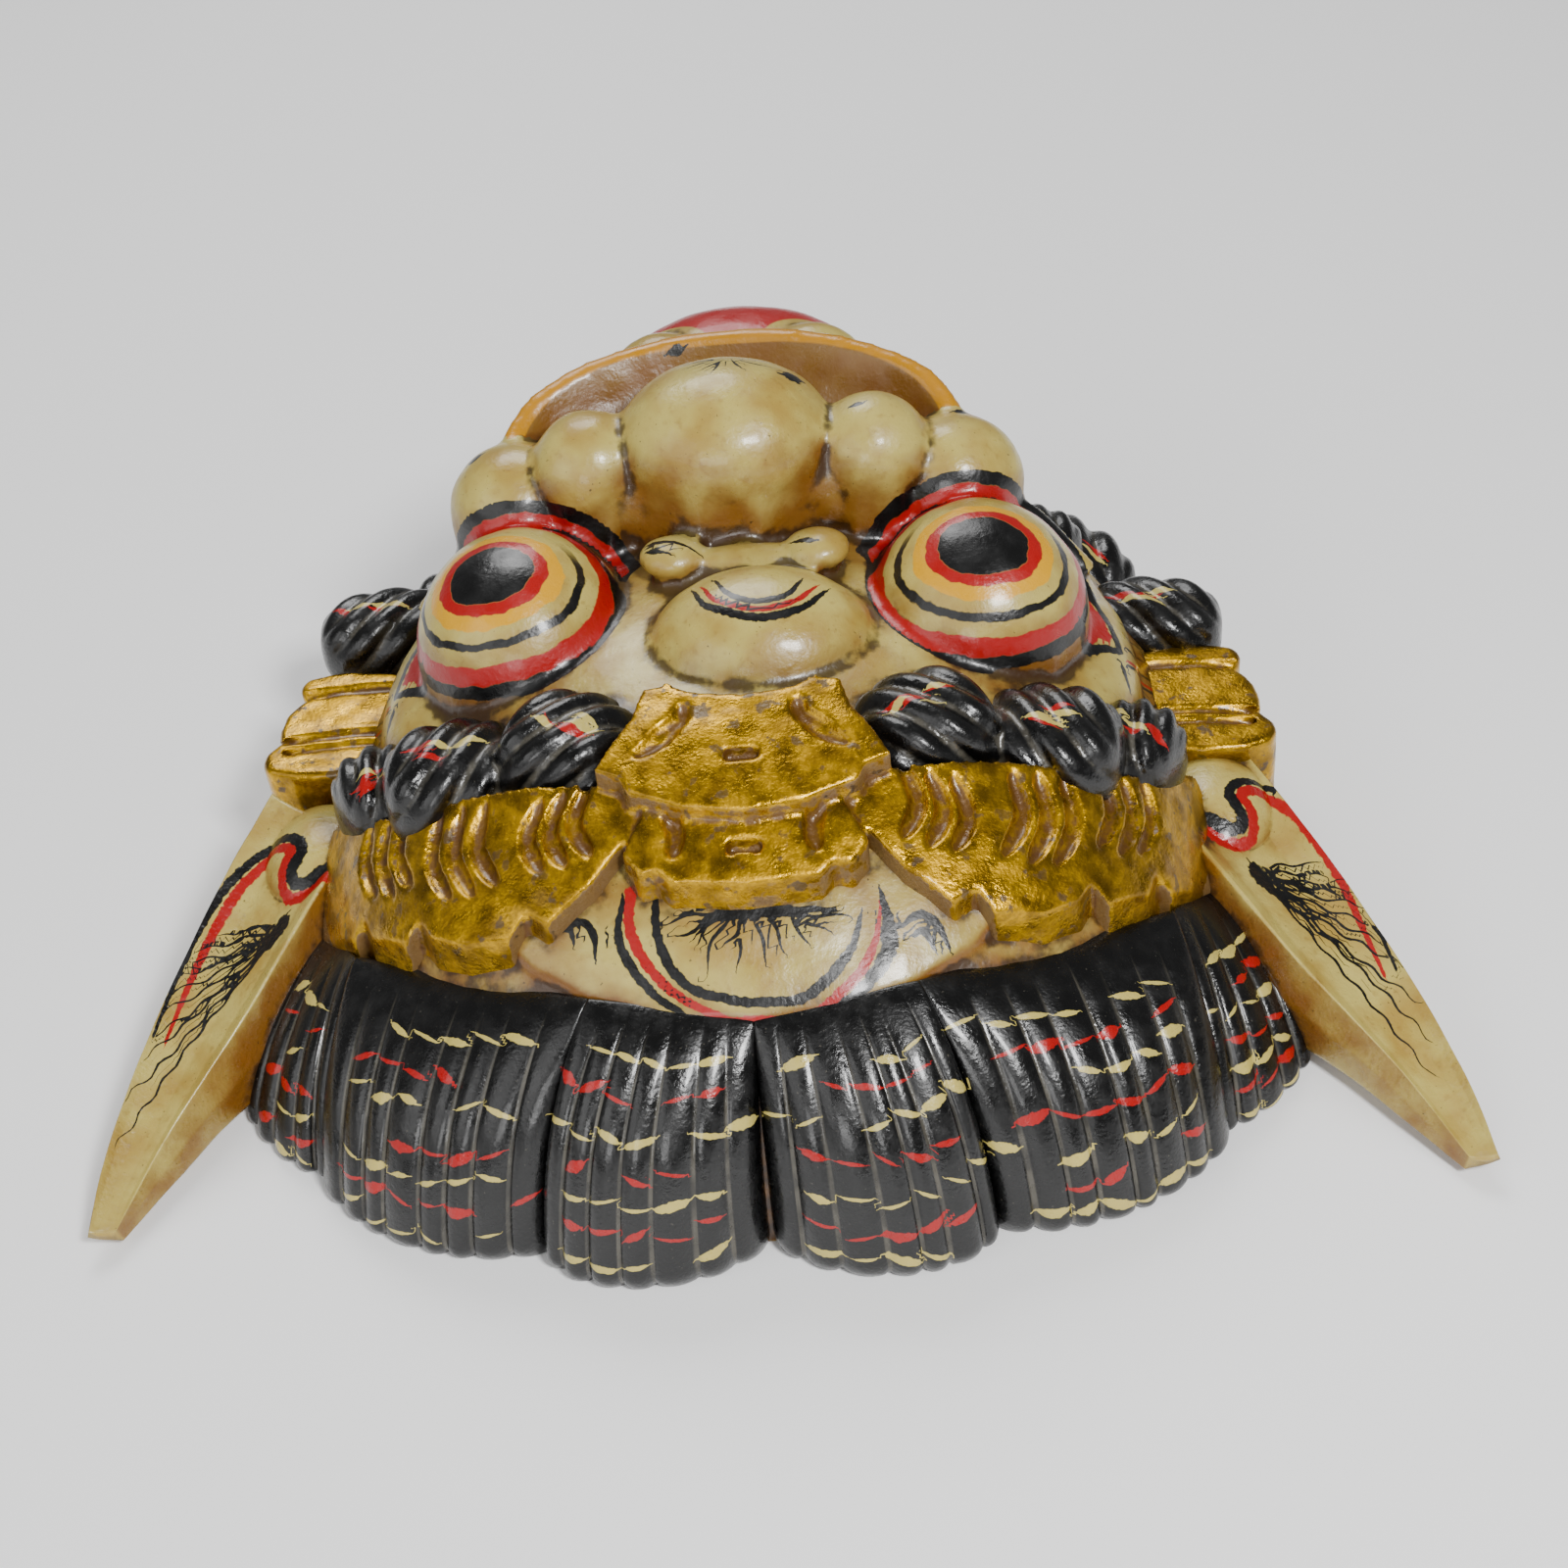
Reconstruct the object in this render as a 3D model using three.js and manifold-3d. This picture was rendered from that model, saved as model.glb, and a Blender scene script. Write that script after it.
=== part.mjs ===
// A carved and painted wooden barong mask, lying face up on its hollow back.
// Millimetres, +Z up out of the face. The crown of the head is at -Y and the chin at +Y.
// The origin is on the table, under the middle of the mask's bounding box.
// The whole mask, ears and ornaments included, is carved from one block, so it is one solid.
// The carver's hand is uneven: the ball, the muzzle, the ears and the studs sit a few millimetres
// off from true symmetry, each by a size named below.
import * as THREE from 'three';
import { mergeVertices } from 'three/addons/utils/BufferGeometryUtils.js';
import Module from 'manifold-3d';

const wasm = await Module();
wasm.setup();

// ---------------------------------------------------------------- driving sizes
// The head is a dome: plan and profile are the exponents of its rounded outline.
const HEAD = { halfWidth: 114, crown: 131, chin: 124, middleY: 8, height: 90, plan: 2.3, profile: 2.2 };
const WALL = 14;
const TEMPLE = { at: [69, 12, 50], radii: [29, 50, 23] };

const BALL = { at: [3.6, -6, 82], radii: [28.5, 22, 20] };
const EYE = { at: [57, 13, 74], radii: [28, 29, 30] };
// The upper lid: a bar along the far edge of the eye, from its inner to its outer corner.
const LID = {
  radius: 3.6,
  route: [[29, 10, 78], [31, 31, 84], [42, 41, 90], [58, 44, 90], [72, 41, 84], [86, 34, 70]],
};

const MUZZLE_SHIFT = -3;
const NOSE = { at: [-1, 48, 109], radii: [28, 23, 20] };
const NOSTRIL_WING = { at: [36, 46, 103.5], radii: [15.5, 15, 16] };
const NOSTRIL = { at: [36, 59, 111], radii: [8, 10, 10] };
const CHEEK = { at: [56, 47.5, 92], radii: [18.5, 17, 18] };
const NOSE_SADDLE = { at: [24, 47, 97], radii: [14, 15, 15] };
const PILLAR = { foot: 66, spread: 1.12 };
const BRIDGE = { at: [0, 18, 78], radii: [31, 22, 15] };
const BOW_END = { at: [18, 19, 94], radii: [8.5, 7.5, 4.5] };
const BOW_MIDDLE = { at: [0, 18, 93], radii: [17, 4.5, 3.4] };

const MUZZLE = { at: [0, 86, 58], radii: [60, 46, 36] };
const UPPER_LIP = { middle: [0, 54], reach: [61, 33], endHeight: 106, rise: 13.5, foot: 66, flare: 13 };
const TONGUE = { at: [0, 112, 85], radii: [36, 24, 22] };
const FRONT_TOOTH = { at: [20, 105, 95], radii: [15, 10, 12] };
const CHIN = { at: [0, 108, 46], radii: [50, 26, 42] };

// The gilt diadem stands this high above the head, plate by plate.
const WING_RISE = 6.5;
const LOWER_PLAQUE_RISE = 8.5;
const UPPER_PLAQUE_RISE = 12;
const FOREHEAD_RISE = 1.5;
const SLOT = { length: 8, width: 3, depth: 4 };
// A gouge is a round cut of this radius, whose middle lies a little above the plate.
const GOUGE = { radius: 2.9, lift: 1 };

// A lock of hair: how much of its profile is a straight slope and not an arch, how deep its ribs
// are cut, how far it bellies, and how thick it is behind.
const LOCK = { ribs: 6, ribDepth: 2.4, slope: 0.45, belly: 4, core: 22, foot: 12, rows: 4 };
// The corners of each lock of hair on the right side, at the hairline and at the rim, and how far
// the middle of its foot swells out.
const LOCKS = [
  { top: [[0, -103, 53], [37, -97, 56]], foot: [[0, -123, 0], [52, -123, 0]], swell: 15 },
  { top: [[37, -97, 56], [98, -61, 39]], foot: [[51, -123, 0], [108, -99, 0]], swell: 12 },
  { top: [[98, -61, 39], [112, -36, 26]], foot: [[105, -98, 0], [131, -73, 0]], swell: 6 },
];

// Twisted rolls of hair: the brows above the eyes, and the beard along the jaw.
const BROWS = [
  { at: [42, -37, 76], radii: [17, 16, 15], turn: 20 },
  { at: [71, -34, 67], radii: [18, 16, 15], turn: -12 },
  { at: [92, -24, 54], radii: [12, 14, 15], turn: -35 },
];
const SIDE_CURL = { at: [104, 54, 42], radii: [19, 13, 13], turn: -8, uneven: 8.5 };
const TUFT = { at: [75, 74, 50], radii: [13, 11, 12], turn: -30 };
const BEARD = [
  { at: [84, 93, 26], radii: [23, 14, 18], turn: -45 },
  { at: [43, 123, 25], radii: [24, 13, 18], turn: -17 },
];
// The exponent makes a roll squarer than an egg.
const ROLL = { ridges: 3, depth: 0.1, twist: 1.6, exponent: 2.7 };

// Each edge of the right ear, from its root on the head to its tip.
const EAR = {
  turn: 3.3,
  turnAbout: [148, -62],
  stations: 6,
  outerTop: [
    [124, -2, 42], [135, -24, 35], [145, -49, 28], [154, -75, 21], [160.5, -100, 13.5], [163, -116, 8],
  ],
  ridge: [
    [100, -22, 44], [112, -43, 38], [126, -66, 28], [137, -81, 20.5], [147, -95, 13.5], [157, -115, 6.5],
  ],
  ridgeFoot: [
    [98, -38, 4], [112, -56, 4], [125, -71, 4.5], [135, -84, 5], [145, -99, 4.5], [156, -115, 3],
  ],
  outerFoot: [
    [112, -10, 10], [126, -28, 12], [139, -52, 12], [149, -77, 9], [157, -100, 6], [161.5, -115, 4],
  ],
  dip: 6,
};
const SHOULDER = { at: [113, -17, 26], radii: [17, 21, 17] };
const STUD = { middleY: 4, bottom: 15, top: 41, bevel: 4, uneven: 5.5 };
// Detail finer than this, in millimetres, is left out of the solid.
const FINEST = 0.4;

// ---------------------------------------------------------------- solids
/** A closed solid from a geometry, whose shared points are merged first. */
function solid(geometry) {
  const bare = geometry.clone();
  bare.deleteAttribute('normal');
  bare.deleteAttribute('uv');
  const merged = mergeVertices(bare, 1e-4);
  return new wasm.Manifold(new wasm.Mesh({
    numProp: 3,
    vertProperties: new Float32Array(merged.attributes.position.array),
    triVerts: new Uint32Array(merged.index.array),
  }));
}

/** Moves every point of a geometry to where a function of that point says. */
function reshape(geometry, place) {
  const p = geometry.attributes.position;
  const point = new THREE.Vector3();
  for (let i = 0; i < p.count; i += 1) {
    point.fromBufferAttribute(p, i);
    p.setXYZ(i, ...place(point));
  }
  return geometry;
}

/** The same geometry on the other side of the middle plane, with its faces still pointing out. */
function mirrored(geometry) {
  const other = geometry.index ? geometry.toNonIndexed() : geometry.clone();
  const p = other.attributes.position;
  const corner = (i) => [-p.getX(i), p.getY(i), p.getZ(i)];
  for (let i = 0; i < p.count; i += 3) {
    const [a, b, c] = [corner(i), corner(i + 1), corner(i + 2)];
    p.setXYZ(i, ...a);
    p.setXYZ(i + 1, ...c);
    p.setXYZ(i + 2, ...b);
  }
  return other;
}

/** The solids of a right-hand geometry and of its mirror image, both moved sideways by a shift. */
function pair(geometry, shift = 0) {
  const right = geometry.index ? geometry.toNonIndexed() : geometry;
  return [right.clone(), mirrored(right)].map((g) => solid(g.translate(shift, 0, 0)));
}

/** An egg of three radii. */
function egg({ at, radii }, columns = 16, rows = 8) {
  return new THREE.SphereGeometry(1, columns, rows).rotateX(Math.PI / 2).scale(...radii).translate(...at);
}

/** A rounded pillar that carries an egg down to the face, a little wider at its foot. */
function pillar({ at, radii }, columns = 16) {
  const height = at[2] - PILLAR.foot;
  return new THREE.CylinderGeometry(1, PILLAR.spread, height, columns)
    .rotateX(Math.PI / 2)
    .scale(radii[0], radii[1], 1)
    .translate(at[0], at[1], PILLAR.foot + height / 2);
}

/** A roll of hair: an egg lying on its side, with ridges that twist around it. */
function roll({ at, radii, turn }) {
  const ball = reshape(new THREE.SphereGeometry(1, ROLL.ridges * 4, 6), (p) => {
    const around = Math.atan2(p.z, p.x) * ROLL.ridges + p.y * ROLL.twist * Math.PI;
    const out = 1 + ROLL.depth * Math.cos(around) * (1 - p.y ** 4);
    const total = [p.x, p.y, p.z].reduce((sum, c) => sum + Math.abs(c) ** ROLL.exponent, 0);
    const boxy = total ** (-1 / ROLL.exponent);
    return [p.x * out * boxy, p.y * boxy, p.z * out * boxy];
  });
  return ball
    .rotateZ(Math.PI / 2)
    .scale(...radii)
    .rotateZ(THREE.MathUtils.degToRad(turn))
    .translate(...at);
}

/** The dome of the head, grown outwards by some millimetres, and whole below the table too. */
function dome(grow, columns = 28, rows = 14) {
  const { halfWidth, crown, chin, middleY, height, plan, profile } = HEAD;
  return reshape(new THREE.SphereGeometry(1, columns, rows).rotateX(Math.PI / 2), (p) => {
    const across = Math.abs(p.x) / (halfWidth + grow);
    const along = Math.abs(p.y) / ((p.y < 0 ? crown : chin) + grow);
    const up = Math.abs(p.z) / (height + grow);
    const flat = (across ** plan + along ** plan) ** (profile / plan);
    const reach = (flat + up ** profile) ** (-1 / profile);
    return [p.x * reach, p.y * reach + middleY, p.z * reach];
  });
}

/** A plate raised on the head: the dome grown by its rise, within an outline seen from the front. */
function plate(outline, rise) {
  const prism = new THREE.ExtrudeGeometry(outline, { depth: 120, bevelEnabled: false, curveSegments: 5 });
  return solid(prism).intersect(solid(dome(rise)));
}

/** A closed skin over rings of points, each ring the same way round as seen from the last one. */
function loft(rings) {
  const count = rings[0].length;
  const points = rings.flat();
  const faces = [];
  for (let r = 0; r + 1 < rings.length; r += 1) {
    for (let i = 0; i < count; i += 1) {
      const j = (i + 1) % count;
      const [a, b, c, d] = [r * count + i, r * count + j, (r + 1) * count + j, (r + 1) * count + i];
      faces.push(a, b, c, a, c, d);
    }
  }
  for (const first of [0, (rings.length - 1) * count]) {
    const middle = new THREE.Vector3();
    for (let i = 0; i < count; i += 1) middle.add(new THREE.Vector3(...points[first + i]));
    points.push(middle.divideScalar(count).toArray());
    for (let i = 0; i < count; i += 1) {
      const edge = [first + i, first + ((i + 1) % count)];
      faces.push(points.length - 1, ...(first === 0 ? edge.reverse() : edge));
    }
  }
  const geometry = new THREE.BufferGeometry();
  geometry.setAttribute('position', new THREE.Float32BufferAttribute(points.flat(), 3));
  geometry.setIndex(faces);
  return geometry;
}

// ---------------------------------------------------------------- parts of the carving
/** One lock of the fringe: ribs that run out and down from the hairline to the rim. */
function lock({ top, foot, swell }) {
  const { ribs, ribDepth, slope, belly, core, rows } = LOCK;
  const along = (ends, u) => new THREE.Vector3(...ends[0]).lerp(new THREE.Vector3(...ends[1]), u);
  const columns = ribs * 2;
  const rings = [];
  for (let r = 0; r <= rows; r += 1) {
    const v = r / rows;
    const angle = (v * Math.PI) / 2;
    const out = THREE.MathUtils.lerp(Math.sin(angle), v, slope);
    const down = THREE.MathUtils.lerp(1 - Math.cos(angle), v, slope);
    const ring = [];
    for (let c = 0; c <= columns; c += 1) {
      const u = c / columns;
      const [start, end] = [along(top, u), along(foot, u)];
      const away = end.clone().sub(start).setZ(0).normalize();
      const swollen = swell * Math.sin(Math.PI * u) ** 0.55 * THREE.MathUtils.smoothstep(v, -0.1, 0.6);
      const rib = c % 2 === 0 ? ribDepth * Math.min(1, v * 2) : 0;
      const lift = swollen + belly * Math.sin(Math.PI * v ** 0.6) - rib;
      ring.push([
        THREE.MathUtils.lerp(start.x, end.x, out) + away.x * lift * out,
        THREE.MathUtils.lerp(start.y, end.y, out) + away.y * lift * out,
        THREE.MathUtils.lerp(start.z, end.z, down) + lift * (1 - down) * 0.5,
      ]);
    }
    for (const u of [1, 0]) {
      const away = along(foot, u).sub(along(top, u)).setZ(0).normalize();
      const [x, y, z] = ring[u * columns];
      ring.push([x - away.x * core, y - away.y * core, z - core * 0.5]);
    }
    rings.push(ring);
  }
  const below = rings[rows].map(([x, y, z]) => [x, y, z - LOCK.foot]);
  return loft([...rings, below].map((ring) => ring.reverse()));
}

/** The flared upper lip: a wall that stands behind the nose and leans outwards to a rounded rim. */
function upperLip() {
  const { middle, reach, endHeight, rise, foot, flare } = UPPER_LIP;
  const rings = [];
  const steps = 10;
  for (let s = 0; s <= steps; s += 1) {
    const angle = THREE.MathUtils.degToRad(THREE.MathUtils.lerp(-8, 188, s / steps));
    const rim = endHeight + rise * Math.max(0, Math.sin(angle));
    const at = (inward, z) => [
      middle[0] + Math.cos(angle) * (reach[0] - inward),
      middle[1] + Math.sin(angle) * (reach[1] - inward),
      z,
    ];
    rings.push([
      at(flare + 9, foot), at(flare, foot), at(5, rim - 16), at(0, rim - 3),
      at(1.5, rim), at(5, rim), at(10, rim - 9), at(flare + 9, rim - 22),
    ].reverse());
  }
  return loft(rings);
}

/** The right ear: a pointed leaf, hollowed in front, with a thick wall on the side of the crown. */
function ear() {
  const edge = (points) => new THREE.CatmullRomCurve3(points.map((p) => new THREE.Vector3(...p)));
  const [outerTop, ridge, ridgeFoot, outerFoot] =
    [EAR.outerTop, EAR.ridge, EAR.ridgeFoot, EAR.outerFoot].map(edge);
  const rings = [];
  for (let s = 0; s <= EAR.stations; s += 1) {
    const t = s / EAR.stations;
    const [o, r, rf, of] = [outerTop, ridge, ridgeFoot, outerFoot].map((curve) => curve.getPoint(t));
    const dip = EAR.dip * (1 - t) ** 0.6 * Math.min(1, 0.3 + 3 * t);
    const across = (k, drop) => r.clone().lerp(o, k).add(new THREE.Vector3(0, 0, -drop));
    const wall = r.clone().lerp(rf, 0.5).addScaledVector(r.clone().sub(o).setZ(0).normalize(), 3 * (1 - t));
    rings.push([
      r, across(0.15, dip * 0.6), across(0.4, dip), across(0.7, dip), across(0.88, dip * 0.55), o,
      o.clone().lerp(of, 0.5).addScaledVector(o.clone().sub(r).setZ(0).normalize(), 1.5),
      of, of.clone().lerp(rf, 0.5), rf, wall,
    ].reverse().map((p) => p.toArray()));
  }
  return loft(rings);
}

/** Turns an ear about the middle of its length. */
function turnedEar(geometry, side, degrees) {
  const [x, y] = EAR.turnAbout;
  return geometry.translate(-side * x, -y, 0)
    .rotateZ(THREE.MathUtils.degToRad(degrees))
    .translate(side * x, y, 0);
}

/** The right gilt ear stud: a flange, a belly and a roll, seen from the front. */
function earStud() {
  const outline = new THREE.Shape();
  outline.moveTo(98, 34);
  outline.quadraticCurveTo(112, 37, 124, 34);
  outline.quadraticCurveTo(129, 30, 122, 26);
  outline.quadraticCurveTo(132, 20, 128, 6);
  outline.quadraticCurveTo(134, 0, 129, -5);
  outline.quadraticCurveTo(120, -9, 98, -6);
  outline.closePath();
  return new THREE.ExtrudeGeometry(outline, {
    depth: STUD.top - STUD.bottom,
    bevelThickness: STUD.bevel,
    bevelSize: STUD.bevel,
    bevelSegments: 1,
    curveSegments: 3,
  }).translate(0, STUD.middleY, STUD.bottom);
}

// Outlines of the diadem's right half, seen from the front, each with its scalloped lower edge.
const WING = [
  [19, -64], [32, -57], [60, -50], [76, -46], [92, -37], [108, -20], [116, -30],
  [112, -42], [105, -52], [98, -60], [94, -59], [92, -65], [82, -73], [78, -71], [75, -76],
  [66, -82], [55, -85], [51, -81], [46, -85], [35, -79], [28, -72], [22, -71],
];
const FOREHEAD = [[0, -104], [20, -102.5], [37, -96.5], [50, -88], [60, -78], [30, -50], [0, -50]];
const LOWER_PLAQUE = [[0, -85], [17, -83.5], [20, -80.5], [24, -81], [28, -76], [22, -66], [0, -60]];
const UPPER_PLAQUE = [
  [0, -72], [14, -70], [26, -65], [28, -61], [34, -58], [30, -51.5], [25.5, -46], [23, -38],
  [17, -37], [12, -40], [0, -42],
];
const outlineOf = (points) => new THREE.Shape(points.map(([x, y]) => new THREE.Vector2(x, y)));
const otherSide = (points) => points.map(([x, y]) => [-x, y]).reverse();

/** The gilt diadem: two wings and two plaques over the bare forehead. */
function diadem() {
  const whole = (points) => outlineOf([...points, ...otherSide(points)]);
  return [
    plate(whole(FOREHEAD), FOREHEAD_RISE),
    plate(outlineOf(WING), WING_RISE),
    plate(outlineOf(otherSide(WING)), WING_RISE),
    plate(whole(LOWER_PLAQUE), LOWER_PLAQUE_RISE),
    plate(whole(UPPER_PLAQUE), UPPER_PLAQUE_RISE),
  ];
}

/** The height of the head above a point of the plan. */
function headHeight(x, y) {
  const { halfWidth, crown, chin, middleY, height, plan, profile } = HEAD;
  const along = Math.abs(y - middleY) / (y < middleY ? crown : chin);
  const flat = ((Math.abs(x) / halfWidth) ** plan + along ** plan) ** (profile / plan);
  return height * (1 - flat) ** (1 / profile);
}

// Curved gouges on the right half of the diadem: the ends of each, how far it bows, and the rise of
// its plate.
const GOUGES = [
  ...[0, 5.5, 11].map((x) => ({ ends: [[36 + x, -55], [35 + x, -74]], bow: 4, rise: WING_RISE })),
  ...[0, 6, 12].map((x) => ({ ends: [[61 + x, -51 + x * 0.3], [57.5 + x, -74]], bow: 4, rise: WING_RISE })),
  ...[0, 5, 10].map((x) => ({ ends: [[83 + x, -42 + x * 0.6], [80.5 + x, -63]], bow: 3, rise: WING_RISE })),
  ...[0, 3].map((x) => ({ ends: [[13 + x, -43 - x], [22 + x, -53 - x]], bow: -3, rise: UPPER_PLAQUE_RISE })),
  { ends: [[18.5, -66], [16.5, -79]], bow: -2, rise: LOWER_PLAQUE_RISE },
];

/** One gouge: a bent round bar along the surface, to be cut away. */
function gouge({ ends, bow, rise }) {
  const [a, b] = ends;
  const middle = [(a[0] + b[0]) / 2 + bow, (a[1] + b[1]) / 2];
  const onPlate = ([x, y]) => new THREE.Vector3(x, y, headHeight(x, y) + rise + GOUGE.lift);
  const route = new THREE.CatmullRomCurve3([a, middle, b].map(onPlate));
  const profile = new THREE.Shape().absarc(0, 0, GOUGE.radius, 0, 2 * Math.PI);
  return new THREE.ExtrudeGeometry(profile, {
    extrudePath: route,
    steps: 2,
    curveSegments: 2,
    bevelEnabled: false,
  });
}

/** A slot sunk in the middle of a plaque. */
function slot(y, rise) {
  const z = headHeight(0, y) + rise;
  return solid(new THREE.BoxGeometry(SLOT.length, SLOT.width, SLOT.depth * 2).translate(0, y, z));
}

// ---------------------------------------------------------------- the mask
function carve() {
  const lid = new THREE.ExtrudeGeometry(new THREE.Shape().absarc(0, 0, LID.radius, 0, 2 * Math.PI), {
    extrudePath: new THREE.CatmullRomCurve3(LID.route.map((p) => new THREE.Vector3(...p))),
    steps: 6,
    curveSegments: 3,
    bevelEnabled: false,
  });
  const leftEar = turnedEar(mirrored(ear()), -1, EAR.turn);
  const leftOf = (geometry, dy) => solid(mirrored(geometry).translate(0, dy, 0));
  const stud = earStud();
  const curl = roll(SIDE_CURL);
  const raised = [
    solid(dome(0)),
    ...pair(egg(TEMPLE)),
    ...diadem(),
    ...LOCKS.flatMap((l) => pair(lock(l))),
    ...BROWS.flatMap((b) => pair(roll(b))),
    ...BEARD.flatMap((b) => pair(roll(b))),
    ...pair(roll(TUFT)),
    solid(curl.clone().translate(0, -SIDE_CURL.uneven, 0)),
    leftOf(curl, SIDE_CURL.uneven),
    ...pair(egg(EYE, 20, 10)),
    ...pair(lid),
    solid(egg(BALL, 20, 10)),
    solid(egg(BRIDGE)),
    solid(egg(BOW_MIDDLE, 8, 6)),
    ...pair(egg(BOW_END, 10, 6)),
    ...[solid(egg(NOSE, 20, 10)), solid(pillar(NOSE, 20))].map((s) => s.translate(MUZZLE_SHIFT, 0, 0)),
    ...pair(egg(NOSTRIL_WING), MUZZLE_SHIFT),
    ...pair(pillar(NOSTRIL_WING), MUZZLE_SHIFT),
    ...pair(egg(CHEEK), MUZZLE_SHIFT),
    ...pair(pillar(CHEEK), MUZZLE_SHIFT),
    ...pair(egg(NOSE_SADDLE, 12, 6), MUZZLE_SHIFT),
    solid(egg(MUZZLE, 20, 8).translate(MUZZLE_SHIFT, 0, 0)),
    solid(upperLip().translate(MUZZLE_SHIFT, 0, 0)),
    solid(egg(TONGUE, 16, 8).translate(MUZZLE_SHIFT, 0, 0)),
    ...pair(egg(FRONT_TOOTH, 12, 6), MUZZLE_SHIFT),
    solid(egg(CHIN, 16, 8)),
    solid(turnedEar(ear(), 1, EAR.turn)),
    solid(leftEar),
    ...pair(egg(SHOULDER, 12, 8)),
    solid(stud.clone().translate(0, -STUD.uneven, 0)),
    leftOf(stud, STUD.uneven),
  ];
  const cuts = [
    solid(dome(-WALL, 28, 12)),
    solid(new THREE.BoxGeometry(500, 500, 200).translate(0, 0, -100)),
    ...pair(egg(NOSTRIL, 8, 6), MUZZLE_SHIFT),
    ...GOUGES.flatMap((g) => pair(gouge(g))),
    slot(-58, UPPER_PLAQUE_RISE),
    slot(-77, LOWER_PLAQUE_RISE),
  ];
  const block = raised.reduce((a, b) => a.add(b));
  const carved = cuts.reduce((a, b) => a.subtract(b), block);
  // Small pockets shut in between two overlapping shapes are filled: only the outer skin is kept.
  const whole = carved.simplify(FINEST).decompose().reduce((a, b) => (a.volume() > b.volume() ? a : b));
  const { min, max } = whole.boundingBox();
  return whole.translate(-(min[0] + max[0]) / 2, -(min[1] + max[1]) / 2, 0);
}

/** A mesh from a carved solid. */
function meshOf(carved, name, material) {
  const { vertProperties, triVerts } = carved.getMesh();
  const geometry = new THREE.BufferGeometry();
  geometry.setAttribute('position', new THREE.BufferAttribute(new Float32Array(vertProperties), 3));
  geometry.setIndex(new THREE.BufferAttribute(new Uint32Array(triVerts), 1));
  geometry.computeVertexNormals();
  const mesh = new THREE.Mesh(geometry, material);
  mesh.name = name;
  return mesh;
}

const paintedWood = new THREE.MeshStandardMaterial({ color: 0xd2b478, roughness: 0.35, metalness: 0 });
const mask = new THREE.Group();
mask.add(meshOf(carve(), 'mask', paintedWood));

export default mask;
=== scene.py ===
"""A carved, painted and gilded barong mask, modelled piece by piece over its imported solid.

Sizes in this file are millimetres in the carver's plan: X to the mask's left ear as it is worn, Y from
the crown to the chin, Z up out of the face, with zero midway between the brows and on the table.
"""

import math

import bpy
import numpy as np
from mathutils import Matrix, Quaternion, Vector
from mathutils.bvhtree import BVHTree


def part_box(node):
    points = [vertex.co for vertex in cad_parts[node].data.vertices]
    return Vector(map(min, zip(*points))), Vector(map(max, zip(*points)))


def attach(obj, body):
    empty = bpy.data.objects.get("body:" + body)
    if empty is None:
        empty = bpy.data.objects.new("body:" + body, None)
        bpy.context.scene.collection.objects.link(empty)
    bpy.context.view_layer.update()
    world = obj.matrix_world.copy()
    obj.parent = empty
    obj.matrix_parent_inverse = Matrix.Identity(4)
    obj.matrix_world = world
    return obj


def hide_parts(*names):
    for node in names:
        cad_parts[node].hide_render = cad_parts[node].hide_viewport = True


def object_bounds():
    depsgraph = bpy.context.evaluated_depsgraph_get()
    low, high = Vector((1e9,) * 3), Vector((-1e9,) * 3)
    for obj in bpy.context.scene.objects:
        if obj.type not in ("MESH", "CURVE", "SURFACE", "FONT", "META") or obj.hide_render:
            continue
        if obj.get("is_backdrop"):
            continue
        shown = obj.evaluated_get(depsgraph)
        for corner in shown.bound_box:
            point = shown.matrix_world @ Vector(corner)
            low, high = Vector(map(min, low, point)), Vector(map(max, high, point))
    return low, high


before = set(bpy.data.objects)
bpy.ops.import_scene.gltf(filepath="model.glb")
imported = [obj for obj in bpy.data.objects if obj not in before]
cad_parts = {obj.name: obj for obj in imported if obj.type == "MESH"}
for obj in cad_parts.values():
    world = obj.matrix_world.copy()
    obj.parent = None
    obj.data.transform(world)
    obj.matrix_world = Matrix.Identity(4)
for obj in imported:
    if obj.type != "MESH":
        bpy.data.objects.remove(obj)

bl_info = {
    "name": "Barong Mask",
    "version": (1, 0, 0),
    "blender": (4, 5, 0),
    "location": "View3D > Sidebar > Barong Mask",
    "description": "Models a carved, painted and gilded barong mask",
    "category": "Add Mesh",
}

MM = 0.001
LOWEST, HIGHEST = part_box("mask")
PLAN_WIDTH = 327.4
PLAN_MIDDLE = np.array([3.1, 0.45, 0.0])
UNIT = (HIGHEST.x - LOWEST.x) / PLAN_WIDTH
ORIGIN = np.array([(LOWEST.x + HIGHEST.x) / 2, (LOWEST.y + HIGHEST.y) / 2, LOWEST.z]) - PLAN_MIDDLE * UNIT

# ---------------------------------------------------------------- sizes of the carving
HEAD = {"half_width": 114.0, "crown": 131.0, "chin": 124.0, "middle_y": 8.0, "height": 90.0}
PLAN_POWER = 2.3
PROFILE_POWER = 2.2
WALL = 14.0
MUZZLE_SHIFT = -3.0
STUD_SHIFT = 5.5

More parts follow.
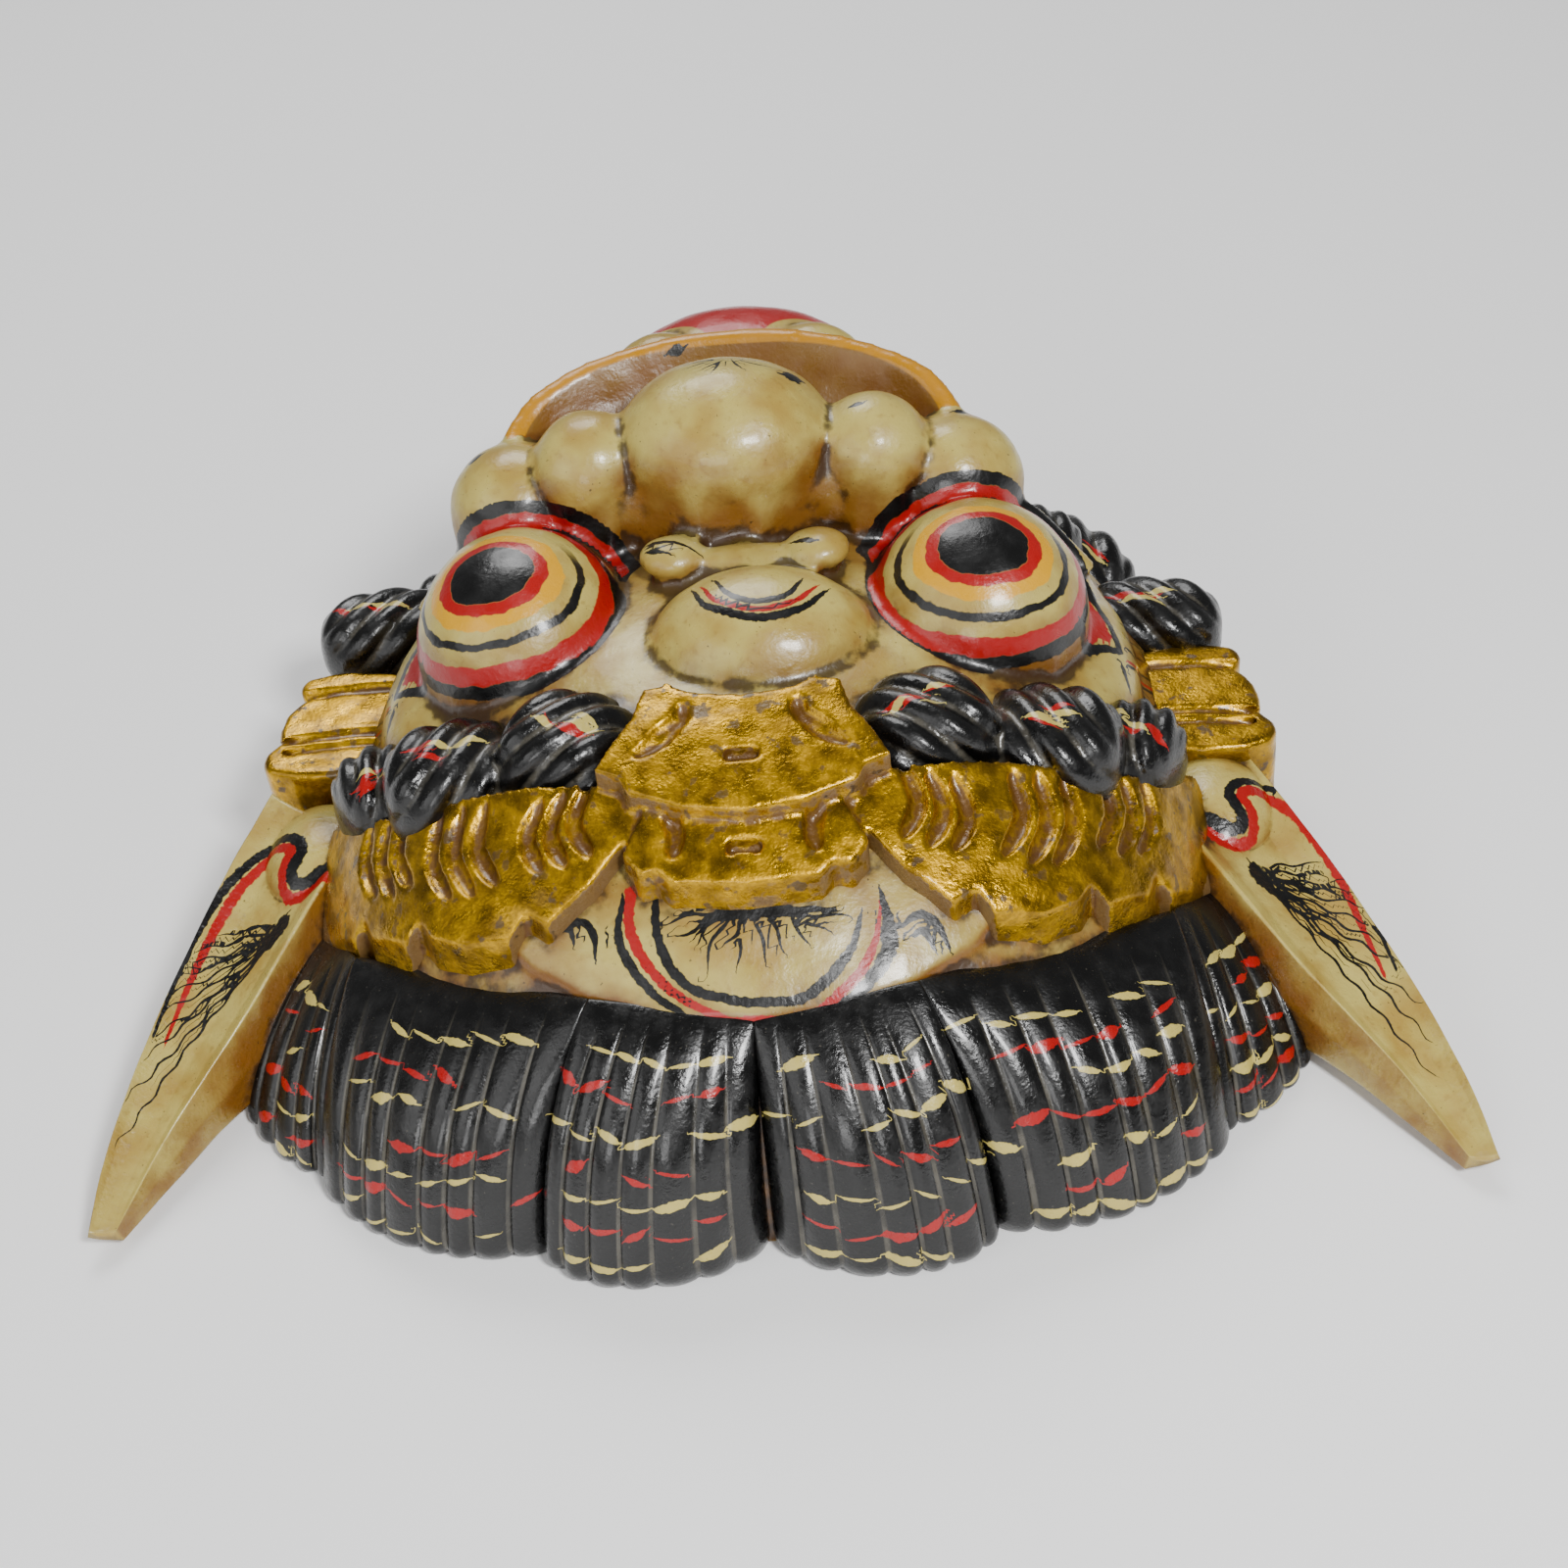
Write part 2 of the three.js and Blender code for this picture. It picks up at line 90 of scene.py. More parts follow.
TEMPLE = ((69, 12, 50), (29, 50, 23))
BALL = ((3.6, -6, 82), (28.5, 22, 20))
EYE = ((57, 13, 74), (28, 29, 30))
LID_ROUTE = [(29, 10, 78), (31, 31, 84), (42, 41, 90), (58, 44, 90), (72, 41, 84), (86, 34, 70)]
LID_RADIUS = 3.3
NOSE = ((-1, 48, 109), (28, 23, 20))
NOSTRIL_WING = ((36, 46, 103.5), (15.5, 15, 16))
NOSTRIL = ((36, 59, 111), (8, 10, 10))
CHEEK = ((56, 47.5, 92), (18.5, 17, 18))
NOSE_SADDLE = ((24, 47, 97), (14, 15, 15))
PILLAR_FOOT = 60.0
# The nose, its wings and the cheek balls, whose joins are rounded more than the rest.
NOSE_PART = {"near": 27, "far": 66, "low": 72, "half_width": 80, "off_eyes": 1.3}
BRIDGE = ((0, 18, 78), (31, 22, 15))
BOW_END = ((18, 19, 94), (8.5, 7.5, 4.5))
BOW_MIDDLE = ((0, 18, 93), (17, 4.5, 3.4))
MUZZLE = ((0, 86, 58), (60, 46, 36))
LIP = {"middle": (0, 54), "reach": (61, 33), "end_height": 106, "rise": 13.5, "foot": 66, "flare": 13}
TONGUE = ((0, 112, 85), (36, 24, 22))
FRONT_TOOTH = ((20, 105, 95), (15, 10, 12))
CHIN = ((0, 108, 46), (50, 26, 42))
# The outer corner of the right eye socket: a wedge whose upper edge makes a crease beside the eye.
SOCKET_WEDGE = [(52, -14, 20), (112, -14, 20), (52, 44, 20), (110, 44, 20),
                (52, -10, 68), (92, -6, 60), (56, 40, 80), (86, 36, 70)]

WING_RISE, LOWER_PLAQUE_RISE, UPPER_PLAQUE_RISE, FOREHEAD_RISE = 6.5, 8.5, 12.0, 1.5
# Outlines seen from the front: the diadem's right wing, and the right halves of its middle plates.
WING = [(19, -64), (32, -57), (60, -50), (76, -46), (92, -37), (108, -20), (116, -30), (112, -42),
        (105, -52), (98, -60), (94, -59), (92, -65), (82, -73), (78, -71), (75, -76), (66, -82),
        (55, -85), (51, -81),
        (46, -85), (35, -79), (28, -72), (22, -71)]
FOREHEAD = [(0, -104), (20, -102.5), (37, -96.5), (50, -88), (60, -78), (30, -50), (0, -50)]
LOWER_PLAQUE = [(0, -85), (17, -83.5), (20, -80.5), (24, -81), (28, -76), (22, -66), (0, -60)]
UPPER_PLAQUE = [(0, -72), (14, -70), (26, -65), (28, -61), (34, -58), (30, -51.5), (25.5, -46), (23, -38),
                (17, -37), (12, -40), (0, -42)]
# Gouge marks: the two ends of each, and how far its middle bows sideways.
WING_GOUGES = [((36, -55), (35, -74), 4), ((41.5, -55.5), (41, -75), 4), ((47, -56), (46.5, -75), 4),
               ((61, -51), (57.5, -74), 4), ((67, -49.5), (63.5, -74), 4), ((73, -47.5), (69.5, -72), 4),
               ((83, -42), (80.5, -63), 3), ((88, -39), (85.5, -62), 3), ((93, -36), (90.5, -58), 3)]
PLAQUE_GOUGES = [((13, -43), (22, -53), -3), ((15, -46.5), (25, -56.5), -3)]
LOWER_GOUGES = [((18.5, -66), (16.5, -79), -2)]
GOUGE_RADIUS = 2.3
GOUGE_LIFT = -0.1
# A plate is cut from a bar that stands on the plan, and reaches this far down into the head.
PLATE_FOOT, PLATE_TOP, PLATE_ROOT = 5.0, 125.0, 4.0
LOWER_SLOT_Y, UPPER_SLOT_Y = -77, -58
SLOT = {"half_length": 4.0, "half_width": 1.6, "depth": 3.0}

LOCKS = [
    {"top": ((0, -103, 53), (37, -97, 56)), "foot": ((0, -123, 0), (52, -123, 0)), "swell": 15, "ribs": 7},
    {"top": ((37, -97, 56), (98, -61, 39)), "foot": ((51, -123, 0), (108, -99, 0)), "swell": 12, "ribs": 8},
    {"top": ((98, -61, 39), (112, -36, 26)), "foot": ((105, -98, 0), (131, -73, 0)), "swell": 6, "ribs": 5},
]
RIB_DEPTH = 3.0
RIB_BREADTH = 0.42
# The share of a lock's profile that is a straight slope, and of its mesh that is its front.
LOCK_SLOPE = 0.45
LOCK_FRONT = 0.84
LOCK_THICKNESS = 11.0
DASH_ROWS = 7
LOCK_BELLY = 4.0

# Rolls of hair: the middle, the radii and the turn of each, in degrees.
BROWS = [((42, -37, 76), (17, 16, 15), 20), ((71, -34, 67), (18, 16, 15), -12),
         ((92, -24, 54), (12, 14, 15), -35)]
SIDE_CURL = ((104, 54, 42), (19, 13, 13), -8)
CURL_SHIFT = 8.5
ROLL_POWER = 2.7
TUFT = ((75, 74, 50), (13, 11, 12), -30)
BEARD = [((84, 93, 26), (23, 14, 18), -45), ((43, 123, 25), (24, 13, 18), -17)]

EAR_TURN = math.radians(3.3)
EAR_PIVOT = (148, -62)
EAR_OUTER_TOP = [(124, -2, 42), (135, -24, 35), (145, -49, 28), (154, -75, 21),
                 (160.5, -100, 13.5), (163, -116, 8)]
EAR_RIDGE = [(100, -22, 44), (112, -43, 38), (126, -66, 28), (137, -81, 20.5),
             (147, -95, 13.5), (157, -115, 6.5)]
EAR_RIDGE_FOOT = [(98, -38, 4), (112, -56, 4), (125, -71, 4.5), (135, -84, 5),
                  (145, -99, 4.5), (156, -115, 3)]
EAR_OUTER_FOOT = [(112, -10, 10), (126, -28, 12), (139, -52, 12), (149, -77, 9),
                  (157, -100, 6), (161.5, -115, 4)]
EAR_DIP = 6.0
EAR_MESH = (132, 130)
SHOULDER = ((113, -17, 26), (17, 21, 17))
STUD_OUTLINE = [(98, 34), (105, 35.2), (112, 36), (118, 35.5), (124, 34), (125.8, 31), (125, 28), (122, 26),
                (125.5, 22), (127.6, 18), (128.3, 12), (128, 6), (130.5, 2.5), (131, -1), (129, -5),
                (122, -7.5), (112, -7.8), (98, -6)]
STUD_BOTTOM, STUD_TOP, STUD_MIDDLE = 11.0, 45.0, 4.0
# The grooves around a stud: where each lies along it, and its radius.
STUD_GROOVES = [(27, 2.0), (8, 1.8), (3.4, 1.5)]

# Rings of the eye: each from one angle to another, away from the middle of the pupil, and its colour.
EYE_RINGS = [(-99, 18, "black"), (18, 23.5, "red"), (23.5, 30, "yellow"), (47, 56, "red"), (56, 63, "black")]
EYE_LINE = (35.5, 39.5)
# The middle of each pupil, as a direction from the middle of the eye, and how wide the rings are.
PUPIL_RIGHT = (0.07, -0.33, 0.94)
PUPIL_LEFT = (-0.18, -0.30, 0.94)
RING_WIDENESS = 1.3

WIDE_SQUARE = [(-200, -200), (200, -200), (200, 200), (-200, 200)]
HOLLOW_MARGIN = 3.0
# How far from a neighbouring piece the surface takes painted shade and dirt.
NEIGHBOUR_REACH = 9.0
BRUSH_SEED = 7
CAMERA_TARGET = (4.97, 0.0, 33.9)
# Each light: its name, where it hangs in metres, its width in metres and its power in watts.
LIGHTS = [("key", (0.45, -0.75, 0.95), 0.22, 17.0), ("fill", (-0.9, -0.7, 0.7), 0.9, 5.0),
          ("far", (-0.2, 0.8, 1.0), 0.6, 9.0), ("front", (-0.25, -1.2, 0.45), 0.4, 4.0)]
WORLD_STRENGTH = 0.18


def srgb(red, green, blue):
    """The linear colour of three 0 to 255 screen values."""
    channels = [value / 255 for value in (red, green, blue)]
    return tuple(c / 12.92 if c <= 0.04045 else ((c + 0.055) / 1.055) ** 2.4 for c in channels)


# ---------------------------------------------------------------- settings
def colour(name, description, value):
    """A colour that a user can change."""
    return bpy.props.FloatVectorProperty(
        name=name, description=description, subtype="COLOR", size=3, min=0.0, max=1.0, default=srgb(*value))


def length(name, description, value):
    """A length that a user can change, given in millimetres and kept in metres."""
    return bpy.props.FloatProperty(
        name=name, description=description, subtype="DISTANCE", unit="LENGTH", default=value * MM)


class MaskPaint(bpy.types.PropertyGroup):
    """The colours of the paint, the gold and the bare wood."""

    cream: colour("Cream", "The rubbed cream ground of the face and ears", (182, 166, 88))
    cream_deep: colour("Deep cream", "Cream where the varnish has pooled", (156, 128, 54))
    wash_and_shade: colour("Wash", "The amber wash in the hollows", (108, 64, 10))
    # Amber: real wash, streaks and wood grain, and painted shade in the hollows, on the steep sides, near
    # the other pieces and in the gold's gouges.
    dirt_and_shade: colour("Dirt", "The dark dirt in the deepest creases", (40, 24, 10))
    # Dark brown: real specks, rubbed spots and age, and painted shade with dirt in the creases and next to
    # the other pieces.
    red: colour("Red", "The red of the eyes, the lip and the borders", (156, 4, 4))
    yellow: colour("Yellow", "The yellow ring of the eyes", (206, 150, 0))
    black: colour("Black", "Hair, pupils and brush lines", (6, 6, 6))
    # The grey of the hair's grooves and specks.
    groove_grey: colour("Dust", "Grey dust that lies in the grooves of the hair", (86, 82, 72))
    ochre: colour("Ochre", "The ochre rim of the lip", (178, 122, 0))
    gold: colour("Gold", "Gold leaf", (210, 162, 12))
    old_gold: colour("Old gold", "Gold leaf dulled by handling", (132, 98, 4))
    size: colour("Size", "The grey-brown ground that shows on the edges of the gilding", (104, 78, 42))
    wood: colour("Bare wood", "The unpainted hollow of the back", (150, 112, 70))


class MaskMaking(bpy.types.PropertyGroup):
    """How finely the pieces are carved."""

    face_cell: length("Face cell", "Size of the cells that the face is fused from", 1.32)
    gilt_cell: length("Gilding cell", "Size of the cells that the gilded pieces are fused from", 0.8)
    curl_cell: length("Curl cell", "Size of the cells that the rolls of hair are fused from", 0.9)


class MaskStage(bpy.types.PropertyGroup):
    """The camera, the light and the floor."""

    lens: bpy.props.FloatProperty(
        name="Lens", description="Focal length of the camera", subtype="DISTANCE_CAMERA", default=58.5)
    camera_azimuth: bpy.props.FloatProperty(
        name="Azimuth", description="Turn of the camera about the mask", subtype="ANGLE",
        default=math.radians(4))
    camera_elevation: bpy.props.FloatProperty(
        name="Elevation", description="Height of the camera's view", subtype="ANGLE",
        default=math.radians(40))
    camera_roll: bpy.props.FloatProperty(
        name="Roll", description="Tilt of the camera about its own axis", subtype="ANGLE",
        default=math.radians(-6))
    camera_distance: length("Distance", "From the camera to the point that it looks at", 658.6)
    floor_tone: bpy.props.FloatProperty(
        name="Floor tone", description="How pale the floor is", subtype="FACTOR", min=0.0, max=1.0,
        default=0.95)


# ---------------------------------------------------------------- points and meshes
def to_frame(points):
    """Points of the carver's plan, in the frame's metres."""
    return np.asarray(points, float) * UNIT + ORIGIN


def to_plan(points):
    """Points of the frame, in the carver's plan."""
    return (np.asarray(points, float) - ORIGIN) / UNIT


def deselect_all():
    """Leaves nothing selected, and no mode but object mode."""
    if bpy.context.object and bpy.context.object.mode != "OBJECT":
        bpy.ops.object.mode_set(mode="OBJECT")
    bpy.ops.object.select_all(action="DESELECT")


def made_points(piece):
    """A piece's points as Blender keeps them: for a new primitive, those of its unit shape."""
    flat = np.empty(len(piece.data.vertices) * 3)
    piece.data.vertices.foreach_get("co", flat)
    return flat.reshape(-1, 3)


def points_of(piece):
    """A piece's points, in the carver's plan."""
    return to_plan(made_points(piece))


def move_points(piece, points):
    """Puts a piece's points at new places of the carver's plan."""
    piece.data.vertices.foreach_set("co", to_frame(points).ravel())
    piece.data.update()


def normals_of(piece):
    """The direction that the surface faces at each point."""
    flat = np.empty(len(piece.data.vertices) * 3)
    piece.data.vertex_normals.foreach_get("vector", flat)
    return flat.reshape(-1, 3)


def finish_with(piece, kind, **choices):
    """Adds a modifier to a piece and applies it."""
    deselect_all()
    piece.select_set(True)
    bpy.context.view_layer.objects.active = piece
    modifier = piece.modifiers.new(kind.title(), kind)
    for name, value in choices.items():
        setattr(modifier, name, value)
    bpy.ops.object.modifier_apply(modifier=modifier.name)


def mirror_x(points):
    """The same points on the other side of the middle."""
    return np.asarray(points, float) * (-1, 1, 1)


def curve(points, t):
    """Places on the smooth line through some points, with t from 0 to 1 along it."""
    given = np.asarray(points, float)
    ends = np.vstack([2 * given[0] - given[1], given, 2 * given[-1] - given[-2]])
    along = np.clip(np.asarray(t, float), 0, 1) * (len(given) - 1)
    i = np.minimum(along.astype(int), len(given) - 2)
    f = (along - i)[..., None]
    a, b, c, d = ends[i], ends[i + 1], ends[i + 2], ends[i + 3]
    return 0.5 * (2 * b + (c - a) * f + (2 * a - 5 * b + 4 * c - d) * f**2 + (3 * b - a - 3 * c + d) * f**3)


def egg(place, radii, segments=48, shift=0.0, side=1):
    """An egg of three radii, on the right side or mirrored to the left, moved sideways by a shift."""
    deselect_all()
    bpy.ops.mesh.primitive_uv_sphere_add(segments=segments, ring_count=segments // 2, radius=1.0)
    piece = bpy.context.object
    middle = np.array([side * place[0] + shift, place[1], place[2]])
    move_points(piece, made_points(piece) * radii + middle)
    return piece


def post(place, radii, shift=0.0, side=1, sides=20):
    """A post that carries an egg down to the face, a little wider at its foot."""
    deselect_all()
    bpy.ops.mesh.primitive_cylinder_add(vertices=sides, radius=1.0, depth=1.0)
    piece = bpy.context.object
    raw = made_points(piece)
    spread = np.where(raw[:, 2] < 0, 1.14, 1.0)
    middle = (side * place[0] + shift, place[1])
    height = place[2] - PILLAR_FOOT
    move_points(piece, np.stack([
        raw[:, 0] * radii[0] * spread + middle[0],
        raw[:, 1] * radii[1] * spread + middle[1],
        PILLAR_FOOT + (raw[:, 2] + 0.5) * height], axis=1))
    return piece


def block(corners, side=1):
    """A cube whose eight corners are moved: lower four, then upper four, each from low X and low Y."""
    deselect_all()
    bpy.ops.mesh.primitive_cube_add(size=2.0)
    piece = bpy.context.object
    raw = made_points(piece)
    order = ((raw[:, 0] > 0) + 2 * (raw[:, 1] > 0) + 4 * (raw[:, 2] > 0)).astype(int)
    moved = np.asarray(corners, float)[order]
    move_points(piece, moved if side > 0 else mirror_x(moved))
    if side < 0:
        face_outwards(piece)
    return piece


def face_outwards(piece):
    """Turns every face of a closed piece outwards."""
    deselect_all()
    piece.select_set(True)
    bpy.context.view_layer.objects.active = piece
    bpy.ops.object.mode_set(mode="EDIT")
    bpy.ops.mesh.select_all(action="SELECT")
    bpy.ops.mesh.normals_make_consistent(inside=False)
    bpy.ops.object.mode_set(mode="OBJECT")


def skin(columns, rows, surface):
    """A sheet of squares bent to a surface of (u, v), its meeting edges joined and its open ends closed."""
    deselect_all()
    bpy.ops.mesh.primitive_grid_add(x_subdivisions=columns, y_subdivisions=rows, size=1.0)
    piece = bpy.context.object
    raw = made_points(piece)
    move_points(piece, surface(raw[:, 0] + 0.5, raw[:, 1] + 0.5))
    bpy.ops.object.mode_set(mode="EDIT")
    bpy.ops.mesh.select_all(action="SELECT")
    bpy.ops.mesh.remove_doubles(threshold=0.02 * MM)
    bpy.ops.mesh.fill_holes(sides=0)
    bpy.ops.mesh.normals_make_consistent(inside=False)
    bpy.ops.object.mode_set(mode="OBJECT")
    return piece


def tube(route, radius, shift=0.0, side=1, columns=16, rows=40, taper=0.0):
    """A round bar along a smooth route, its ends drawn in by the taper."""
    def surface(u, v):
        at = curve(route, v)
        ahead = curve(route, np.minimum(v + 0.01, 1)) - curve(route, np.maximum(v - 0.01, 0))
        ahead /= np.linalg.norm(ahead, axis=1)[:, None]
        across = np.cross(ahead, (0, 0, 1))
        across /= np.linalg.norm(across, axis=1)[:, None]
        up = np.cross(across, ahead)
        turn = 2 * np.pi * u
        wide = radius * (1 - taper * np.abs(2 * v - 1) ** 4)
        bar = at + across * (np.cos(turn) * wide)[:, None] + up * (np.sin(turn) * wide)[:, None]
        return bar * (side, 1, 1) + (shift, 0, 0)

    return skin(columns, rows, surface)


def prism(outline, low, high):
    """An outline in the plan, drawn straight up from one height to another."""
    deselect_all()
    bpy.ops.mesh.primitive_circle_add(vertices=len(outline), radius=1.0, fill_type="NGON")
    piece = bpy.context.object
    flat = np.array([(x, y, low) for x, y in outline], float)
    move_points(piece, flat)
    bpy.ops.object.mode_set(mode="EDIT")
    bpy.ops.mesh.select_all(action="SELECT")
    bpy.ops.mesh.extrude_region_move(TRANSFORM_OT_translate={"value": (0, 0, (high - low) * UNIT)})
    bpy.ops.mesh.select_all(action="SELECT")
    bpy.ops.mesh.normals_make_consistent(inside=False)
    bpy.ops.object.mode_set(mode="OBJECT")
    return piece


def joined(pieces, name):
    """Several meshes as one object."""
    deselect_all()
    for piece in pieces:
        piece.select_set(True)
    bpy.context.view_layer.objects.active = pieces[0]
    if len(pieces) > 1:
        bpy.ops.object.join()
    whole = bpy.context.object
    whole.name = name
    whole.data.name = name
    return whole


def cut(piece, tool, operation="DIFFERENCE"):
    """Cuts a piece with another one, which is used up."""
    finish_with(piece, "BOOLEAN", object=tool, operation=operation, solver="MANIFOLD")
    bpy.data.objects.remove(tool, do_unlink=True)


def fuse(pieces, name, cell, rounds):
    """Fuses overlapping shapes into one skin, and rounds their joins as a rasp would."""
    whole = joined(pieces, name)
    finish_with(whole, "REMESH", mode="VOXEL", voxel_size=cell)
    finish_with(whole, "SMOOTH", factor=0.5, iterations=rounds)
    return whole


def tool_marks(piece, depth, spacing):
    """Leaves the shallow facets of a carving knife on a piece."""
    texture = bpy.data.textures.new(piece.name + "_marks", "VORONOI")
    texture.noise_scale = spacing * UNIT
    texture.distance_metric = "DISTANCE"
    local = {"texture_coords": "LOCAL", "mid_level": 0.5}
    finish_with(piece, "DISPLACE", texture=texture, strength=-depth, **local)
    ripple = bpy.data.textures.new(piece.name + "_ripple", "CLOUDS")
    ripple.noise_scale = 2.2 * spacing * UNIT
    finish_with(piece, "DISPLACE", texture=ripple, strength=depth * 1.5, **local)


def smooth_shaded(piece):
    """Gives a piece smooth shading all over."""
    deselect_all()
    piece.select_set(True)
    bpy.context.view_layer.objects.active = piece
    bpy.ops.object.shade_smooth()


def settle(piece, material):
    """Gives a finished piece its material and the body that it rides on."""
    piece.data.materials.clear()
    piece.data.materials.append(material)
    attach(piece, "root")
    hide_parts("mask")


# ---------------------------------------------------------------- the dome of the head
def dome_reach(x, y, z, grow=0.0):
    """How far out a point lies from the middle of the head: 1 on the dome, less inside it."""
    across = np.abs(x) / (HEAD["half_width"] + grow)
    end = np.where(y < HEAD["middle_y"], HEAD["crown"], HEAD["chin"]) + grow
    along = np.abs(y - HEAD["middle_y"]) / end
    up = np.abs(z) / (HEAD["height"] + grow)
    flat = (across**PLAN_POWER + along**PLAN_POWER) ** (PROFILE_POWER / PLAN_POWER)
    return (flat + up**PROFILE_POWER) ** (1 / PROFILE_POWER)


def dome(grow, segments=96):
    """The dome of the head, grown outwards by some millimetres, and whole below the table too."""
    piece = egg((0, HEAD["middle_y"], 0), (100, 100, 100), segments)
    points = points_of(piece)
    x, y, z = (points - (0, HEAD["middle_y"], 0)).T
    reach = dome_reach(x, y + HEAD["middle_y"], z, grow)
    move_points(piece, np.stack([x, y, z], axis=1) / reach[:, None] + (0, HEAD["middle_y"], 0))
    return piece


def dome_height(x, y, grow=0.0):
    """The height of the dome above a place in the plan."""
    end = np.where(y < HEAD["middle_y"], HEAD["crown"], HEAD["chin"]) + grow
    flat = (np.abs(x) / (HEAD["half_width"] + grow)) ** PLAN_POWER
    flat = (flat + (np.abs(y - HEAD["middle_y"]) / end) ** PLAN_POWER) ** (PROFILE_POWER / PLAN_POWER)
    return (HEAD["height"] + grow) * np.maximum(1 - flat, 0) ** (1 / PROFILE_POWER)


# ---------------------------------------------------------------- hollows for dirt and painted shade, and brushwork, kept on the points
def store(piece, name, values):
    """Keeps a number or three for each point of a piece, for its material to read."""
    kind, field = ("FLOAT_VECTOR", "vector") if values.ndim == 2 else ("FLOAT", "value")
    attribute = piece.data.attributes.new(name, kind, "POINT")
    attribute.data.foreach_set(field, np.ascontiguousarray(values, np.float32).ravel())


def hollows(piece, rounds):
    """How deep each point lies in a hollow, in mm: how far out it moves if the piece is smoothed."""
    points = points_of(piece)
    edges = np.empty(len(piece.data.edges) * 2, np.int64)
    piece.data.edges.foreach_get("vertices", edges)
    start, end = edges.reshape(-1, 2).T
    count = np.bincount(edges, minlength=len(points))[:, None]
    soft = points.copy()
    for _ in range(rounds):
        total = np.stack([np.bincount(start, soft[end, k], len(points)) +
                          np.bincount(end, soft[start, k], len(points)) for k in range(3)], axis=1)
        soft = (soft + total / count) / 2
    return ((soft - points) * normals_of(piece)).sum(axis=1)


def surface_tree(*pieces):
    """A search tree of the surfaces of some pieces, for laying strokes on them and finding near ones."""
    places, triangles = [], []
    for piece in pieces:
        piece.data.calc_loop_triangles()
        first = len(places)
        places += [vertex.co.copy() for vertex in piece.data.vertices]
        triangles += [[first + i for i in triangle.vertices] for triangle in piece.data.loop_triangles]
    return BVHTree.FromPolygons(places, triangles)


def laid_on(tree, plan_points):
    """Points of the plan dropped straight down onto a surface; those that miss it are left out."""
    landed = []
    for x, y in plan_points:
        above = Vector(to_frame((x, y, 200.0)))
        place, _, _, _ = tree.ray_cast(above, Vector((0, 0, -1)))
        if place is not None:
            landed.append(to_plan(place))
    return np.array(landed)


def brush(piece, name, strokes):
    """Keeps, for each point, its place beside the nearest stroke: offset in half widths, and distance.

    A stroke is its points on the surface, and the half width of the brush at each of them.
    """
    points, normals = points_of(piece), normals_of(piece)
    offset = np.full(len(points), 9.0)
    beyond = np.full(len(points), 9.0)
    for route, widths in strokes:
        if len(route) < 2:
            continue
        widths = np.interp(np.linspace(0, 1, len(route)), np.linspace(0, 1, len(widths)), widths)
        margin = widths.max() + 4.0
        inside = (points > route.min(0) - margin) & (points < route.max(0) + margin)
        near = np.where(inside.all(axis=1))[0]
        if not len(near):
            continue
        best = np.full(len(near), 1e9)
        side = np.zeros(len(near))
        wide = np.ones(len(near))
        last = len(route) - 2
        for i in range(last + 1):
            a, b = route[i], route[i + 1]
            step = b - a
            reach = np.linalg.norm(step) + 1e-9
            raw = ((points[near] - a) @ step) / reach**2
            t = np.clip(raw, 0, 1)
            away = points[near] - (a + t[:, None] * step)
            gap = np.linalg.norm(away, axis=1)
            closer = gap < best
            across = np.cross(step / reach, away)
            sign = np.sign((across * normals[near]).sum(axis=1))
            best = np.where(closer, gap, best)
            side = np.where(closer, sign * gap, side)
            wide = np.where(closer, widths[i] + t * (widths[i + 1] - widths[i]), wide)
        nearer = best - wide < beyond[near]
        chosen = near[nearer]
        beyond[chosen] = (best - wide)[nearer]
        offset[chosen] = (side / wide)[nearer]
    store(piece, name, np.stack([offset, beyond, np.zeros(len(points))], axis=1))


def wavy(start, end, bend, waves, sway, random, count=16):
    """A hand-drawn line in the plan between two points, bowed to one side and wavering."""
    t = np.linspace(0, 1, count)
    start, end = np.asarray(start, float), np.asarray(end, float)
    along = end - start
    across = np.array([-along[1], along[0]]) / (np.linalg.norm(along) + 1e-9)
    phase = random.uniform(0, 2 * np.pi)
    push = bend * np.sin(np.pi * t) + sway * np.sin(2 * np.pi * waves * t + phase) * np.minimum(1, 4 * t)
    return start + t[:, None] * along + push[:, None] * across


